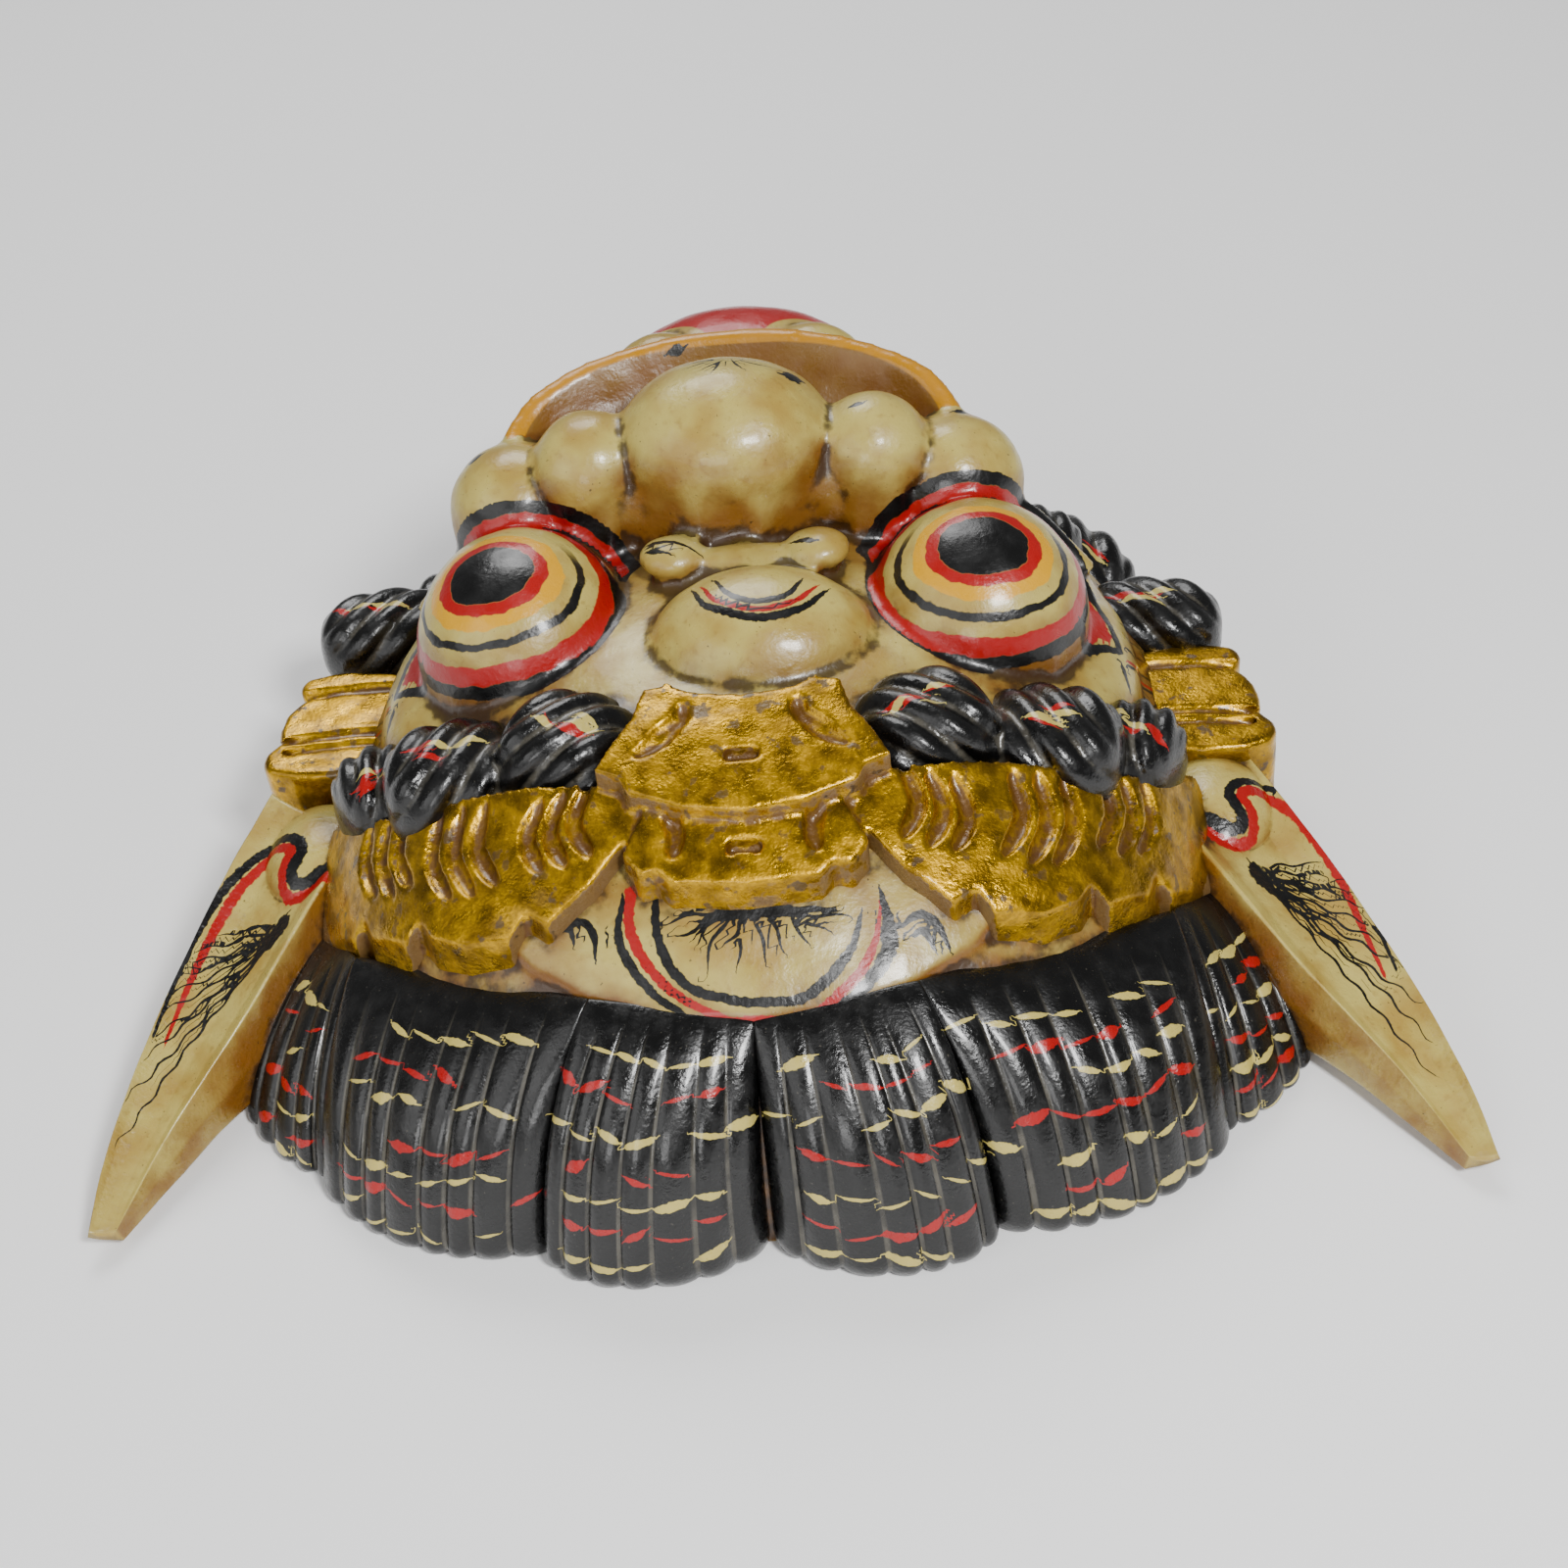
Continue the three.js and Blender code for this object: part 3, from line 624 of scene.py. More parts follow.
# ---------------------------------------------------------------- paint, gold and wood
class Finish:
    """A material's nodes, put together one after another."""

    def __init__(self, name):
        self.material = bpy.data.materials.new(name)
        self.material.use_nodes = True
        self.tree = self.material.node_tree
        self.shader = next(n for n in self.tree.nodes if n.type == "BSDF_PRINCIPLED")
        self.place = self.node("ShaderNodeTexCoord").outputs["Object"]

    def node(self, kind, **choices):
        """A new node of a kind, with some of its choices made."""
        made = self.tree.nodes.new(kind)
        for name, value in choices.items():
            setattr(made, name, value)
        return made

    def feed(self, socket, value):
        """Links a socket to another, or sets it."""
        if isinstance(value, bpy.types.NodeSocket):
            self.tree.links.new(value, socket)
        elif socket.type == "RGBA":
            socket.default_value = (*tuple(value)[:3], 1.0)
        else:
            socket.default_value = value

    def math(self, operation, *values):
        """The result of an operation on some numbers."""
        made = self.node("ShaderNodeMath", operation=operation)
        for socket, value in zip(made.inputs, values):
            self.feed(socket, value)
        return made.outputs[0]

    def kept(self, name):
        """A number that the piece keeps for each point."""
        return self.node("ShaderNodeAttribute", attribute_name=name).outputs["Fac"]

    def kept_three(self, name):
        """The three numbers that the piece keeps for each point."""
        vector = self.node("ShaderNodeAttribute", attribute_name=name).outputs["Vector"]
        parts = self.node("ShaderNodeSeparateXYZ")
        self.feed(parts.inputs[0], vector)
        return parts.outputs

    def mottle(self, size, detail=3.0, stretch=(1, 1, 1)):
        """A cloudy pattern whose patches are about this many millimetres across."""
        mapping = self.node("ShaderNodeMapping")
        self.feed(mapping.inputs["Vector"], self.place)
        mapping.inputs["Scale"].default_value = [s / (size * UNIT) for s in stretch]
        pattern = self.node("ShaderNodeTexNoise")
        self.feed(pattern.inputs["Vector"], mapping.outputs[0])
        self.feed(pattern.inputs["Scale"], 1.0)
        self.feed(pattern.inputs["Detail"], detail)
        return pattern.outputs["Fac"]

    def step(self, value, low, high, bottom=0.0, top=1.0):
        """A smooth rise from the bottom to the top as the value goes from low to high."""
        made = self.node("ShaderNodeMapRange", interpolation_type="SMOOTHSTEP", clamp=True)
        self.feed(made.inputs["Value"], value)
        for socket, number in zip(("From Min", "From Max", "To Min", "To Max"), (low, high, bottom, top)):
            self.feed(made.inputs[socket], number)
        return made.outputs["Result"]

    def mix(self, share, below, above):
        """One colour over another."""
        made = self.node("ShaderNodeMix", data_type="RGBA")
        self.feed(made.inputs["Factor"], share)
        self.feed(made.inputs["A"], below)
        self.feed(made.inputs["B"], above)
        return made.outputs["Result"]

    def blend(self, share, below, above):
        """One number over another."""
        made = self.node("ShaderNodeMix", data_type="FLOAT")
        self.feed(made.inputs["Factor"], share)
        self.feed(made.inputs["A"], below)
        self.feed(made.inputs["B"], above)
        return made.outputs["Result"]

    def both(self, *values):
        """The product of some shares."""
        result = values[0]
        for value in values[1:]:
            result = self.math("MULTIPLY", result, value)
        return result

    def stroke(self, name):
        """Where the brush strokes kept under a name cover the surface."""
        offset, beyond, _ = self.kept_three(name)
        fray = self.step(self.mottle(1.6), 0.3, 0.7, -0.12, 0.22)
        ragged = self.math("ADD", self.math("ABSOLUTE", offset), fray)
        return self.both(self.step(ragged, 0.88, 1.08, 1.0, 0.0), self.step(beyond, 1.3, 1.5, 1.0, 0.0))

    def bump(self, height, depth):
        """Raises the surface by a pattern, this many millimetres deep."""
        made = self.node("ShaderNodeBump")
        self.feed(made.inputs["Height"], height)
        self.feed(made.inputs["Distance"], depth * UNIT)
        self.feed(made.inputs["Strength"], 1.0)
        self.feed(self.shader.inputs["Normal"], made.outputs[0])

    def varnish(self, colour, roughness, coat, coat_roughness, metallic=0.0):
        """Sets the surface under its clear coat, and gives back the finished material."""
        self.feed(self.shader.inputs["Base Color"], colour)
        self.feed(self.shader.inputs["Roughness"], roughness)
        self.feed(self.shader.inputs["Metallic"], metallic)
        self.shader.inputs["Coat Weight"].default_value = coat
        self.shader.inputs["Coat Roughness"].default_value = coat_roughness
        return self.material


def aged_cream(finish, paint):
    """Rubbed cream paint, with amber wash and painted shade in the hollows, painted amber shade on the steep
    sides, painted shade with dirt in the creases, and dark specks.
    """
    ground = finish.mix(finish.step(finish.mottle(14), 0.35, 0.7), paint.cream, paint.cream_deep)
    wander = finish.step(finish.mottle(9, 5.0), 0.25, 0.8, -0.5, 0.5)
    # Painted shade: amber over the broad hollows, the steep sides and the places near other pieces, on top
    # of some real wash.
    wash_and_shade = finish.math("ADD", finish.kept("shade"), finish.math("MULTIPLY", wander, 0.4))
    ground = finish.mix(finish.step(wash_and_shade, -0.1, 0.85, 0.0, 0.95), ground, paint.wash_and_shade)
    streaks = finish.step(finish.mottle(2.6, 6.0), 0.56, 0.74, 0.0, 0.30)
    ground = finish.mix(streaks, ground, paint.wash_and_shade)
    # Painted shade with dirt: dark brown in the creases and next to the other pieces.
    crease = finish.math("ADD", finish.kept("crease"), finish.step(finish.mottle(3), 0.3, 0.7, -0.25, 0.25))
    ground = finish.mix(finish.step(crease, 0.25, 1.0, 0.0, 0.85), ground, paint.dirt_and_shade)
    specks = finish.step(finish.mottle(0.9, 2.0), 0.70, 0.76, 0.0, 0.75)
    return finish.mix(specks, ground, paint.dirt_and_shade)


def face_paint(paint):
    """The paint of the face: cream with ringed eyes, a red and ochre lip, and black and red brush lines."""
    finish = Finish("face_paint")
    ground = aged_cream(finish, paint)
    uneven = finish.step(finish.mottle(5), 0.3, 0.7, -0.8, 0.8)
    ring = finish.math("ADD", finish.kept("eye_ring"), uneven)

    def between(low, high, soft=0.35):
        """Where the ring's angle lies between two angles."""
        beyond_low = finish.step(ring, low - soft, low + soft)
        return finish.both(beyond_low, finish.step(ring, high - soft, high + soft, 1, 0))

    for low, high, tone in EYE_RINGS:
        ground = finish.mix(between(low, high), ground, getattr(paint, tone))
    open_side = finish.kept("eye_line")
    ground = finish.mix(finish.both(between(*EYE_LINE), open_side), ground, paint.black)
    ground = finish.mix(finish.step(finish.kept("mouth_red"), -0.3, 0.3), ground, paint.red)
    ground = finish.mix(finish.step(finish.kept("lip_brown"), -0.6, 0.6, 0.0, 0.85), ground, paint.wash_and_shade)
    ground = finish.mix(finish.step(finish.kept("lip_rim"), -0.3, 0.3), ground, paint.ochre)
    ground = finish.mix(finish.stroke("red_stroke"), ground, paint.red)
    ground = finish.mix(finish.stroke("black_stroke"), ground, paint.black)
    gloss = finish.step(finish.mottle(7, 4.0), 0.3, 0.7, 0.26, 0.44)
    finish.bump(finish.blend(0.5, finish.mottle(1.3, 6.0), finish.mottle(6, 2.0, (1, 0.25, 1))), 0.28)
    return finish.varnish(ground, gloss, 0.22, 0.12)


def ear_paint(paint):
    """Cream with a black and red border and wavering black hair lines."""
    finish = Finish("ear_paint")
    ground = aged_cream(finish, paint)
    ground = finish.mix(finish.stroke("red_stroke"), ground, paint.red)
    ground = finish.mix(finish.stroke("black_stroke"), ground, paint.black)
    gloss = finish.step(finish.mottle(7, 4.0), 0.3, 0.7, 0.24, 0.42)
    finish.bump(finish.mottle(1.3, 6.0), 0.25)
    return finish.varnish(ground, gloss, 0.22, 0.12)


def gilding(paint):
    """Worn gold leaf on a grey-brown ground."""
    finish = Finish("gilding")
    leaf = finish.mix(finish.step(finish.mottle(6, 5.0), 0.3, 0.66), paint.old_gold, paint.gold)
    grain = finish.step(finish.mottle(1.1, 3.0, (1, 0.3, 1)), 0.35, 0.65, 0.0, 0.45)
    leaf = finish.mix(grain, leaf, paint.old_gold)
    chipping = finish.step(finish.mottle(3, 4.0), 0.3, 0.7, -0.25, 0.25)
    edge = finish.math("ADD", finish.kept("edge"), chipping)
    bare = finish.step(edge, 0.35, 0.65)
    rubbed = finish.step(finish.mottle(4.5, 7.0), 0.60, 0.66)
    # Painted shade with dirt: the gouges and creases of the gold go dark brown and lose their shine.
    crease = finish.math("ADD", finish.kept("crease"), finish.step(finish.mottle(2.5), 0.3, 0.7, -0.2, 0.2))
    groove = finish.step(crease, 0.25, 0.9, 0.0, 0.9)
    ground = finish.mix(bare, leaf, paint.size)
    ground = finish.mix(finish.math("MULTIPLY", rubbed, 0.8), ground, paint.dirt_and_shade)
    ground = finish.mix(groove, ground, finish.mix(0.45, paint.dirt_and_shade, paint.wash_and_shade))
    metal = finish.both(finish.step(bare, 0, 1, 0.92, 0.0), finish.step(rubbed, 0, 1, 1.0, 0.15),
                        finish.step(groove, 0, 0.9, 1.0, 0.2))
    gloss = finish.step(finish.mottle(5, 5.0), 0.3, 0.7, 0.22, 0.48)
    finish.bump(finish.blend(0.5, finish.mottle(0.8, 4.0), finish.mottle(3.5, 4.0)), 0.35)
    return finish.varnish(ground, gloss, 0.25, 0.15, metal)


def black_hair(paint, name):
    """Glossy black, greyer in the grooves, with dabs of red and cream."""
    finish = Finish(name)
    # The grooves turn grey where the crease field is high.
    groove_grey = finish.both(finish.step(finish.kept("crease"), 0.15, 0.9, 0.0, 0.75),
                       finish.step(finish.mottle(7, 4.0), 0.35, 0.65, 0.35, 1.0))
    ground = finish.mix(groove_grey, paint.black, paint.groove_grey)
    ground = finish.mix(finish.stroke("red_stroke"), ground, paint.red)
    ground = finish.mix(finish.stroke("cream_stroke"), ground, paint.cream)
    specks = finish.step(finish.mottle(0.8, 2.0), 0.71, 0.75, 0.0, 0.6)
    ground = finish.mix(specks, ground, paint.groove_grey)
    gloss = finish.step(finish.mottle(5, 5.0), 0.3, 0.7, 0.18, 0.42)
    finish.bump(finish.blend(0.5, finish.mottle(0.9, 5.0), finish.mottle(4, 3.0)), 0.30)
    return finish.varnish(ground, gloss, 0.22, 0.1)


def bare_wood(paint):
    """The hollow of the back: bare wood with its grain, darkened by age."""
    finish = Finish("bare_wood")
    grain = finish.mottle(1.4, 4.0, (1, 0.06, 0.4))
    ground = finish.mix(finish.step(grain, 0.35, 0.7), paint.wood, paint.wash_and_shade)
    ground = finish.mix(finish.step(finish.mottle(20, 4.0), 0.45, 0.75, 0.0, 0.5), ground, paint.dirt_and_shade)
    finish.bump(grain, 0.3)
    return finish.varnish(ground, finish.step(grain, 0.3, 0.7, 0.55, 0.75), 0.0, 0.3)


# ---------------------------------------------------------------- the pieces
def both_sides(outline):
    """A half outline and its mirror image, as one outline."""
    other = [(-x, y) for x, y in reversed(outline) if x > 0]
    return outline + other


def plate(outline, rise):
    """A plate raised on the dome, within an outline seen from the front."""
    piece = prism(outline, PLATE_FOOT, PLATE_TOP)
    face_outwards(piece)
    cut(piece, dome(rise), "INTERSECT")
    cut(piece, dome(-PLATE_ROOT))
    return piece


def gouged(piece, gouges, rise, side=1):
    """Cuts gouge marks into the top of a plate: bent bars that lie along its surface."""
    for (ax, ay), (bx, by), bow in gouges:
        corners_of_mark = ((ax, ay), ((ax + bx) / 2 + bow, (ay + by) / 2), (bx, by))
        route = [(x, y, float(dome_height(x, y, rise)) + GOUGE_LIFT) for x, y in corners_of_mark]
        cut(piece, tube(route, GOUGE_RADIUS, side=side, columns=12, rows=16, taper=0.8))


def diadem(cell):
    """The gilt diadem: two wings and two plaques, gouged and slotted."""
    mirrored_wing = [(-x, y) for x, y in reversed(WING)]
    wings = [plate(WING, WING_RISE), plate(mirrored_wing, WING_RISE)]
    plaques = [plate(both_sides(LOWER_PLAQUE), LOWER_PLAQUE_RISE),
               plate(both_sides(UPPER_PLAQUE), UPPER_PLAQUE_RISE)]
    for side, wing in zip((1, -1), wings):
        gouged(wing, WING_GOUGES, WING_RISE, side)
        gouged(plaques[0], LOWER_GOUGES, LOWER_PLAQUE_RISE, side)
        gouged(plaques[1], PLAQUE_GOUGES, UPPER_PLAQUE_RISE, side)
    along, across = SLOT["half_length"], SLOT["half_width"]
    for plaque, y, rise in ((plaques[0], LOWER_SLOT_Y, LOWER_PLAQUE_RISE),
                            (plaques[1], UPPER_SLOT_Y, UPPER_PLAQUE_RISE)):
        top = float(dome_height(0, y, rise))
        outline = [(-along, y - across), (along, y - across), (along, y + across), (-along, y + across)]
        cut(plaque, prism(outline, top - SLOT["depth"], top + 5))
    whole = fuse(wings + plaques, "diadem", cell, 2)
    tool_marks(whole, 0.35 * MM, 7)
    return whole


def lock(top, foot, swell, ribs, side, random):
    """One lock of the fringe: ribs that run out and down from the hairline to the rim."""
    wobble = random.uniform(-0.25, 0.25, ribs + 1)
    heights = random.uniform(0.75, 1.15, ribs + 1)

    def outer(u, v):
        start = np.array(top[0]) + u[:, None] * (np.array(top[1]) - top[0])
        end = np.array(foot[0]) + u[:, None] * (np.array(foot[1]) - foot[0])
        away = (end - start) * (1, 1, 0)
        away /= np.linalg.norm(away, axis=1)[:, None]
        angle = v * np.pi / 2
        out = np.sin(angle) + LOCK_SLOPE * (v - np.sin(angle))
        down = 1 - np.cos(angle) + LOCK_SLOPE * (v - 1 + np.cos(angle))
        rib = u * ribs
        rib = rib + np.interp(rib, np.arange(ribs + 1), wobble) * np.sin(np.pi * u)
        crest = np.abs(np.sin(np.pi * rib)) ** RIB_BREADTH
        depth = RIB_DEPTH * np.interp(rib, np.arange(ribs + 1), heights) * np.clip((v - 0.05) / 0.35, 0, 1)
        rounded = np.sin(np.pi * np.clip(u, 0, 1)) ** 0.55
        lift = swell * rounded * smoothstep(v, -0.1, 0.6) + LOCK_BELLY * np.sin(np.pi * v**0.6)
        lift = lift - depth * (1 - crest) - 2.5 * np.clip((v - 0.93) / 0.07, 0, 1) ** 2
        points = np.empty((len(u), 3))
        run = end - start
        points[:, :2] = start[:, :2] + run[:, :2] * out[:, None] + away[:, :2] * (lift * out)[:, None]
        points[:, 2] = start[:, 2] + run[:, 2] * down + lift * (1 - down) * 0.5
        return points, away

    def ring(u, w):
        v = np.clip(w / LOCK_FRONT, 0, 1)
        points, away = outer(u, v)
        inward = np.clip((w - LOCK_FRONT) / (1 - LOCK_FRONT), 0, 1)
        back = np.sin(np.pi * np.clip(inward * 2, 0, 1) / 2)
        rise = np.clip(inward * 2 - 1, 0, 1)
        first, _ = outer(u, np.zeros(len(u)))
        foot_in = points - away * LOCK_THICKNESS
        inner = foot_in + rise[:, None] * (first - (0, 0, 6) - foot_in)
        where = inward > 0
        moved = points - away * (LOCK_THICKNESS * back)[:, None]
        points = np.where(where[:, None], np.where((rise > 0)[:, None], inner, moved), points)
        closing = w > 0.9999
        points = np.where(closing[:, None], first, points)
        return points if side > 0 else mirror_x(points)

    return skin(12 * ribs, 130, ring), outer


def dabs(outer, ribs, side, random):
    """Rows of short dabs across a lock: for each, its row, its points and the half widths of the brush."""
    for row in range(DASH_ROWS):
        level = 0.22 + 0.74 * row / DASH_ROWS + random.uniform(-0.02, 0.02)
        for rib in range(ribs):
            at_edge = rib in (0, ribs - 1)
            if random.uniform() < (0.85 if at_edge else 0.18):
                continue
            middle = (rib + 0.5) / ribs
            droop = 0.07 * (1 - (2 * middle - 1) ** 2)
            half = random.uniform(0.2, 0.42) / ribs
            u = np.linspace(middle - half, middle + half, 6)
            v = np.full(6, level + droop + random.uniform(-0.015, 0.015))
            v = v + np.linspace(-1, 1, 6) * random.uniform(-0.015, 0.015)
            route, _ = outer(u, v)
            wide = random.choice([0.5, 0.8, 1.1, 1.5])
            yield row, route if side > 0 else mirror_x(route), [wide * 0.7, wide, wide, wide * 0.6]


def hair(random):
    """The black fringe: six locks, and the dabs of paint across their ribs."""
    pieces, red, cream = [], [], []
    for side in (1, -1):
        for given in LOCKS:
            piece, outer = lock(given["top"], given["foot"], given["swell"], given["ribs"], side, random)
            pieces.append(piece)
            for row, route, widths in dabs(outer, given["ribs"], side, random):
                (red if row % 2 else cream).append((route, widths))
    return joined(pieces, "hair"), red, cream


def roll(place, radii, turn, side=1, shift=0.0, strands=7, twist=1.9):
    """A roll of hair: an egg lying on its side, with grooves that twist around it."""
    deselect_all()
    bpy.ops.mesh.primitive_uv_sphere_add(segments=96, ring_count=48, radius=1.0)
    piece = bpy.context.object
    x, y, z = made_points(piece).T
    around = np.arctan2(y, x) * strands / 2 + z * twist * np.pi
    crest = np.abs(np.sin(around)) ** 0.7
    boxy = (np.abs(x)**ROLL_POWER + np.abs(y)**ROLL_POWER + np.abs(z)**ROLL_POWER) ** (-1 / ROLL_POWER)
    x, y, z = x * boxy, y * boxy, z * boxy
    out = 1.02 - 0.2 * (1 - crest) * (1 - z**8)
    long, wide, high = radii
    points = np.stack([z * long, y * out * wide, x * out * high], axis=1)
    angle = math.radians(turn)
    spun = np.stack([points[:, 0] * math.cos(angle) - points[:, 1] * math.sin(angle),
                     points[:, 0] * math.sin(angle) + points[:, 1] * math.cos(angle), points[:, 2]], axis=1)
    spun = spun + place
    if side < 0:
        spun = mirror_x(spun)
    move_points(piece, spun + (0, shift, 0))
    face_outwards(piece)
    return piece


def rolls(cell):
    """The brows, the side curls, the tufts and the beard."""
    pieces = []
    for side in (1, -1):
        pieces += [roll(place, radii, turn, side) for place, radii, turn in BROWS + BEARD]
        pieces.append(roll(*TUFT, side))
        pieces.append(roll(*SIDE_CURL, side, shift=-side * CURL_SHIFT))
    whole = fuse(pieces, "rolls", cell, 1)
    cut(whole, dome(HOLLOW_MARGIN - WALL, 48))
    cut(whole, prism(WIDE_SQUARE, -60, 0))
    return whole


def studs(cell):
    """The two gilt ear studs: a flange, a belly and a roll."""
    pieces = []
    for side in (1, -1):
        outline = [(side * x, y + STUD_MIDDLE - side * STUD_SHIFT) for x, y in STUD_OUTLINE]
        piece = prism(outline, STUD_BOTTOM, STUD_TOP)
        face_outwards(piece)
        finish_with(piece, "BEVEL", width=5.0 * MM, segments=4, limit_method="ANGLE")
        for y, radius in STUD_GROOVES:
            level = y + STUD_MIDDLE - side * STUD_SHIFT
            route = [(90, level, STUD_TOP + 0.4), (104, level + 1.0, STUD_TOP + 0.2),
                     (118, level, STUD_TOP + 0.2), (127, level - 1, STUD_TOP - 3),
                     (130, level - 1, 30), (129, level - 1, 5)]
            cut(piece, tube(route, radius, side=side))
        pieces.append(piece)
    whole = fuse(pieces, "ear_studs", cell, 4)
    tool_marks(whole, 0.4 * MM, 8)
    return whole


def ear_surface(side):
    """The skin of an ear: a pointed leaf, hollowed in front, with a thick wall on the side of the crown."""
    sections = [EAR_OUTER_TOP, EAR_RIDGE, EAR_RIDGE_FOOT, EAR_OUTER_FOOT]

    def surface(u, v):
        outer, ridge, ridge_foot, outer_foot = (curve(points, v) for points in sections)
        dip = EAR_DIP * (1 - v) ** 0.6 * np.minimum(1, 0.3 + 3 * v)
        flat = (ridge - outer) * (1, 1, 0)
        flat /= np.linalg.norm(flat, axis=1)[:, None]
        down = np.array([0, 0, 1.0])
        loop = [ridge]
        loop += [ridge + k * (outer - ridge) - (dip * drop)[:, None] * down
                 for k, drop in ((0.15, 0.6), (0.4, 1.0), (0.7, 1.0), (0.88, 0.55))]
        loop += [outer, (outer + outer_foot) / 2 - flat * 1.5, outer_foot, (outer_foot + ridge_foot) / 2,
                 ridge_foot, (ridge + ridge_foot) / 2 + flat * (3 * (1 - v))[:, None], ridge]
        loop = np.array(loop)
        along = u * (len(loop) - 1)
        i = np.minimum(along.astype(int), len(loop) - 2)
        f = (along - i)[:, None]
        each = np.arange(len(u))
        points = loop[i, each] * (1 - f) + loop[i + 1, each] * f
        x, y = points[:, 0] - EAR_PIVOT[0], points[:, 1] - EAR_PIVOT[1]
        turn = side * EAR_TURN
        turned = np.stack([EAR_PIVOT[0] + x * math.cos(turn) - y * math.sin(turn),
                           EAR_PIVOT[1] + x * math.sin(turn) + y * math.cos(turn), points[:, 2]], axis=1)
        return turned if side > 0 else mirror_x(turned)

    return surface


def ears():
    """Both ears and the cream shoulders that they spring from."""
    pieces = []
    for side in (1, -1):
        ear = skin(*EAR_MESH, ear_surface(side))
        finish_with(ear, "SMOOTH", factor=0.5, iterations=2)
        cut(ear, egg(*SHOULDER, 96, side=side), "UNION")
        cut(ear, dome(HOLLOW_MARGIN - WALL, 48))
        pieces.append(ear)
    whole = joined(pieces, "ears")
    tool_marks(whole, 0.25 * MM, 14)
    return whole


def lip_surface(u, v):
    """The flared upper lip: a wall behind the nose that leans outwards to a rounded rim."""
    angle = np.radians(-8 + 196 * v)
    rim = LIP["end_height"] + LIP["rise"] * np.maximum(0, np.sin(angle))
    flare, foot = LIP["flare"], np.full_like(rim, LIP["foot"])
    steps = [(flare + 9, foot), (flare, foot), (5, rim - 16), (0, rim - 3), (1.5, rim), (5, rim),
             (10, rim - 9), (flare + 9, rim - 22), (flare + 9, foot)]
    inward = np.interp(u * 8, range(9), [s[0] for s in steps])
    heights = np.array([s[1] for s in steps])
    along = u * 8
    i = np.minimum(along.astype(int), 7)
    each = np.arange(len(u))
    z = heights[i, each] * (1 - along + i) + heights[i + 1, each] * (along - i)
    x = LIP["middle"][0] + np.cos(angle) * (LIP["reach"][0] - inward) + MUZZLE_SHIFT
    y = LIP["middle"][1] + np.sin(angle) * (LIP["reach"][1] - inward)
    return np.stack([x, y, z], axis=1)


def face(cell):
    """The head and all its features, with its nostrils cut; its back is hollowed afterwards."""
    shapes = [dome(0), egg(*BALL, 64), egg(*BRIDGE), egg(*BOW_MIDDLE, 24),
              egg(*NOSE, 64, MUZZLE_SHIFT), post(*NOSE, MUZZLE_SHIFT, sides=11),
              egg(*MUZZLE, 64, MUZZLE_SHIFT), skin(40, 90, lip_surface),
              egg(*TONGUE, 64, MUZZLE_SHIFT), egg(*CHIN)]
    rise_prism = prism(both_sides(FOREHEAD), 20, 120)
    face_outwards(rise_prism)
    cut(rise_prism, dome(FOREHEAD_RISE), "INTERSECT")
    shapes.append(rise_prism)
    for side in (1, -1):
        shapes += [egg(*TEMPLE, side=side), egg(*EYE, 64, side=side), egg(*BOW_END, 24, side=side),
                   tube(LID_ROUTE, LID_RADIUS, side=side), block(SOCKET_WEDGE, side)]
        shapes += [egg(*NOSTRIL_WING, 48, MUZZLE_SHIFT, side), post(*NOSTRIL_WING, MUZZLE_SHIFT, side, 9),
                   egg(*CHEEK, 48, MUZZLE_SHIFT, side), post(*CHEEK, MUZZLE_SHIFT, side, 9),
                   egg(*FRONT_TOOTH, 32, MUZZLE_SHIFT, side), egg(*NOSE_SADDLE, 32, MUZZLE_SHIFT, side)]
    whole = fuse(shapes, "face", cell, 3)
    points = points_of(whole)
    x, y, z = points.T
    on_nose = (y > NOSE_PART["near"]) & (y < NOSE_PART["far"]) & (z > NOSE_PART["low"])
    on_nose &= np.abs(x) < NOSE_PART["half_width"]
    for side in (1, -1):
        on_nose &= inside_egg(points, *EYE, side) > NOSE_PART["off_eyes"]
    soft = whole.vertex_groups.new(name="soft")
    soft.add([int(i) for i in np.flatnonzero(on_nose)], 1.0, "REPLACE")
    finish_with(whole, "SMOOTH", factor=0.5, iterations=9, vertex_group="soft")
    tool_marks(whole, 0.5 * MM, 11)
    for side in (1, -1):
        cut(whole, egg(*NOSTRIL, 32, MUZZLE_SHIFT, side))
    return whole


# ---------------------------------------------------------------- painted figures
# Brush lines in the plan: their points, then the half width of the brush along them.
FOREHEAD_BLACK = [
    ([(-21, -81), (-21, -87), (-19, -93), (-14, -98), (-6, -100.5), (2, -101.5), (11, -101), (18, -97),
      (23, -91.5), (25, -86)], [0.9, 1.3, 1.2, 1.2, 1.5, 0.5]),
    ([(-28.5, -80), (-29.8, -86), (-27.8, -92), (-22, -98.5), (-16, -102)], [0.6, 1.2, 1.2, 0.8]),
    ([(14, -104.5), (24, -99.5), (30.3, -93), (31.2, -87), (29.8, -81)], [0.5, 1.6, 2.2, 0.5]),
    ([(-43.5, -82.5), (-41.2, -83), (-40.2, -86)], [1.4, 1.1, 0.4]),
    ([(-41.5, -81), (-37.5, -83), (-35.3, -86), (-35.3, -90)], [0.4, 1.1, 1.0, 0.4]),
    ([(34, -87.5), (38, -84.8), (42, -86), (44.5, -90)], [0.5, 1.2, 1.2, 0.4]),
    ([(36.5, -88.8), (39, -87.6), (41, -90.5)], [0.6, 1.3, 0.5]),
    ([(-6, -86), (1, -85.5), (8, -86)], [0.9, 1.8, 0.9]),
]
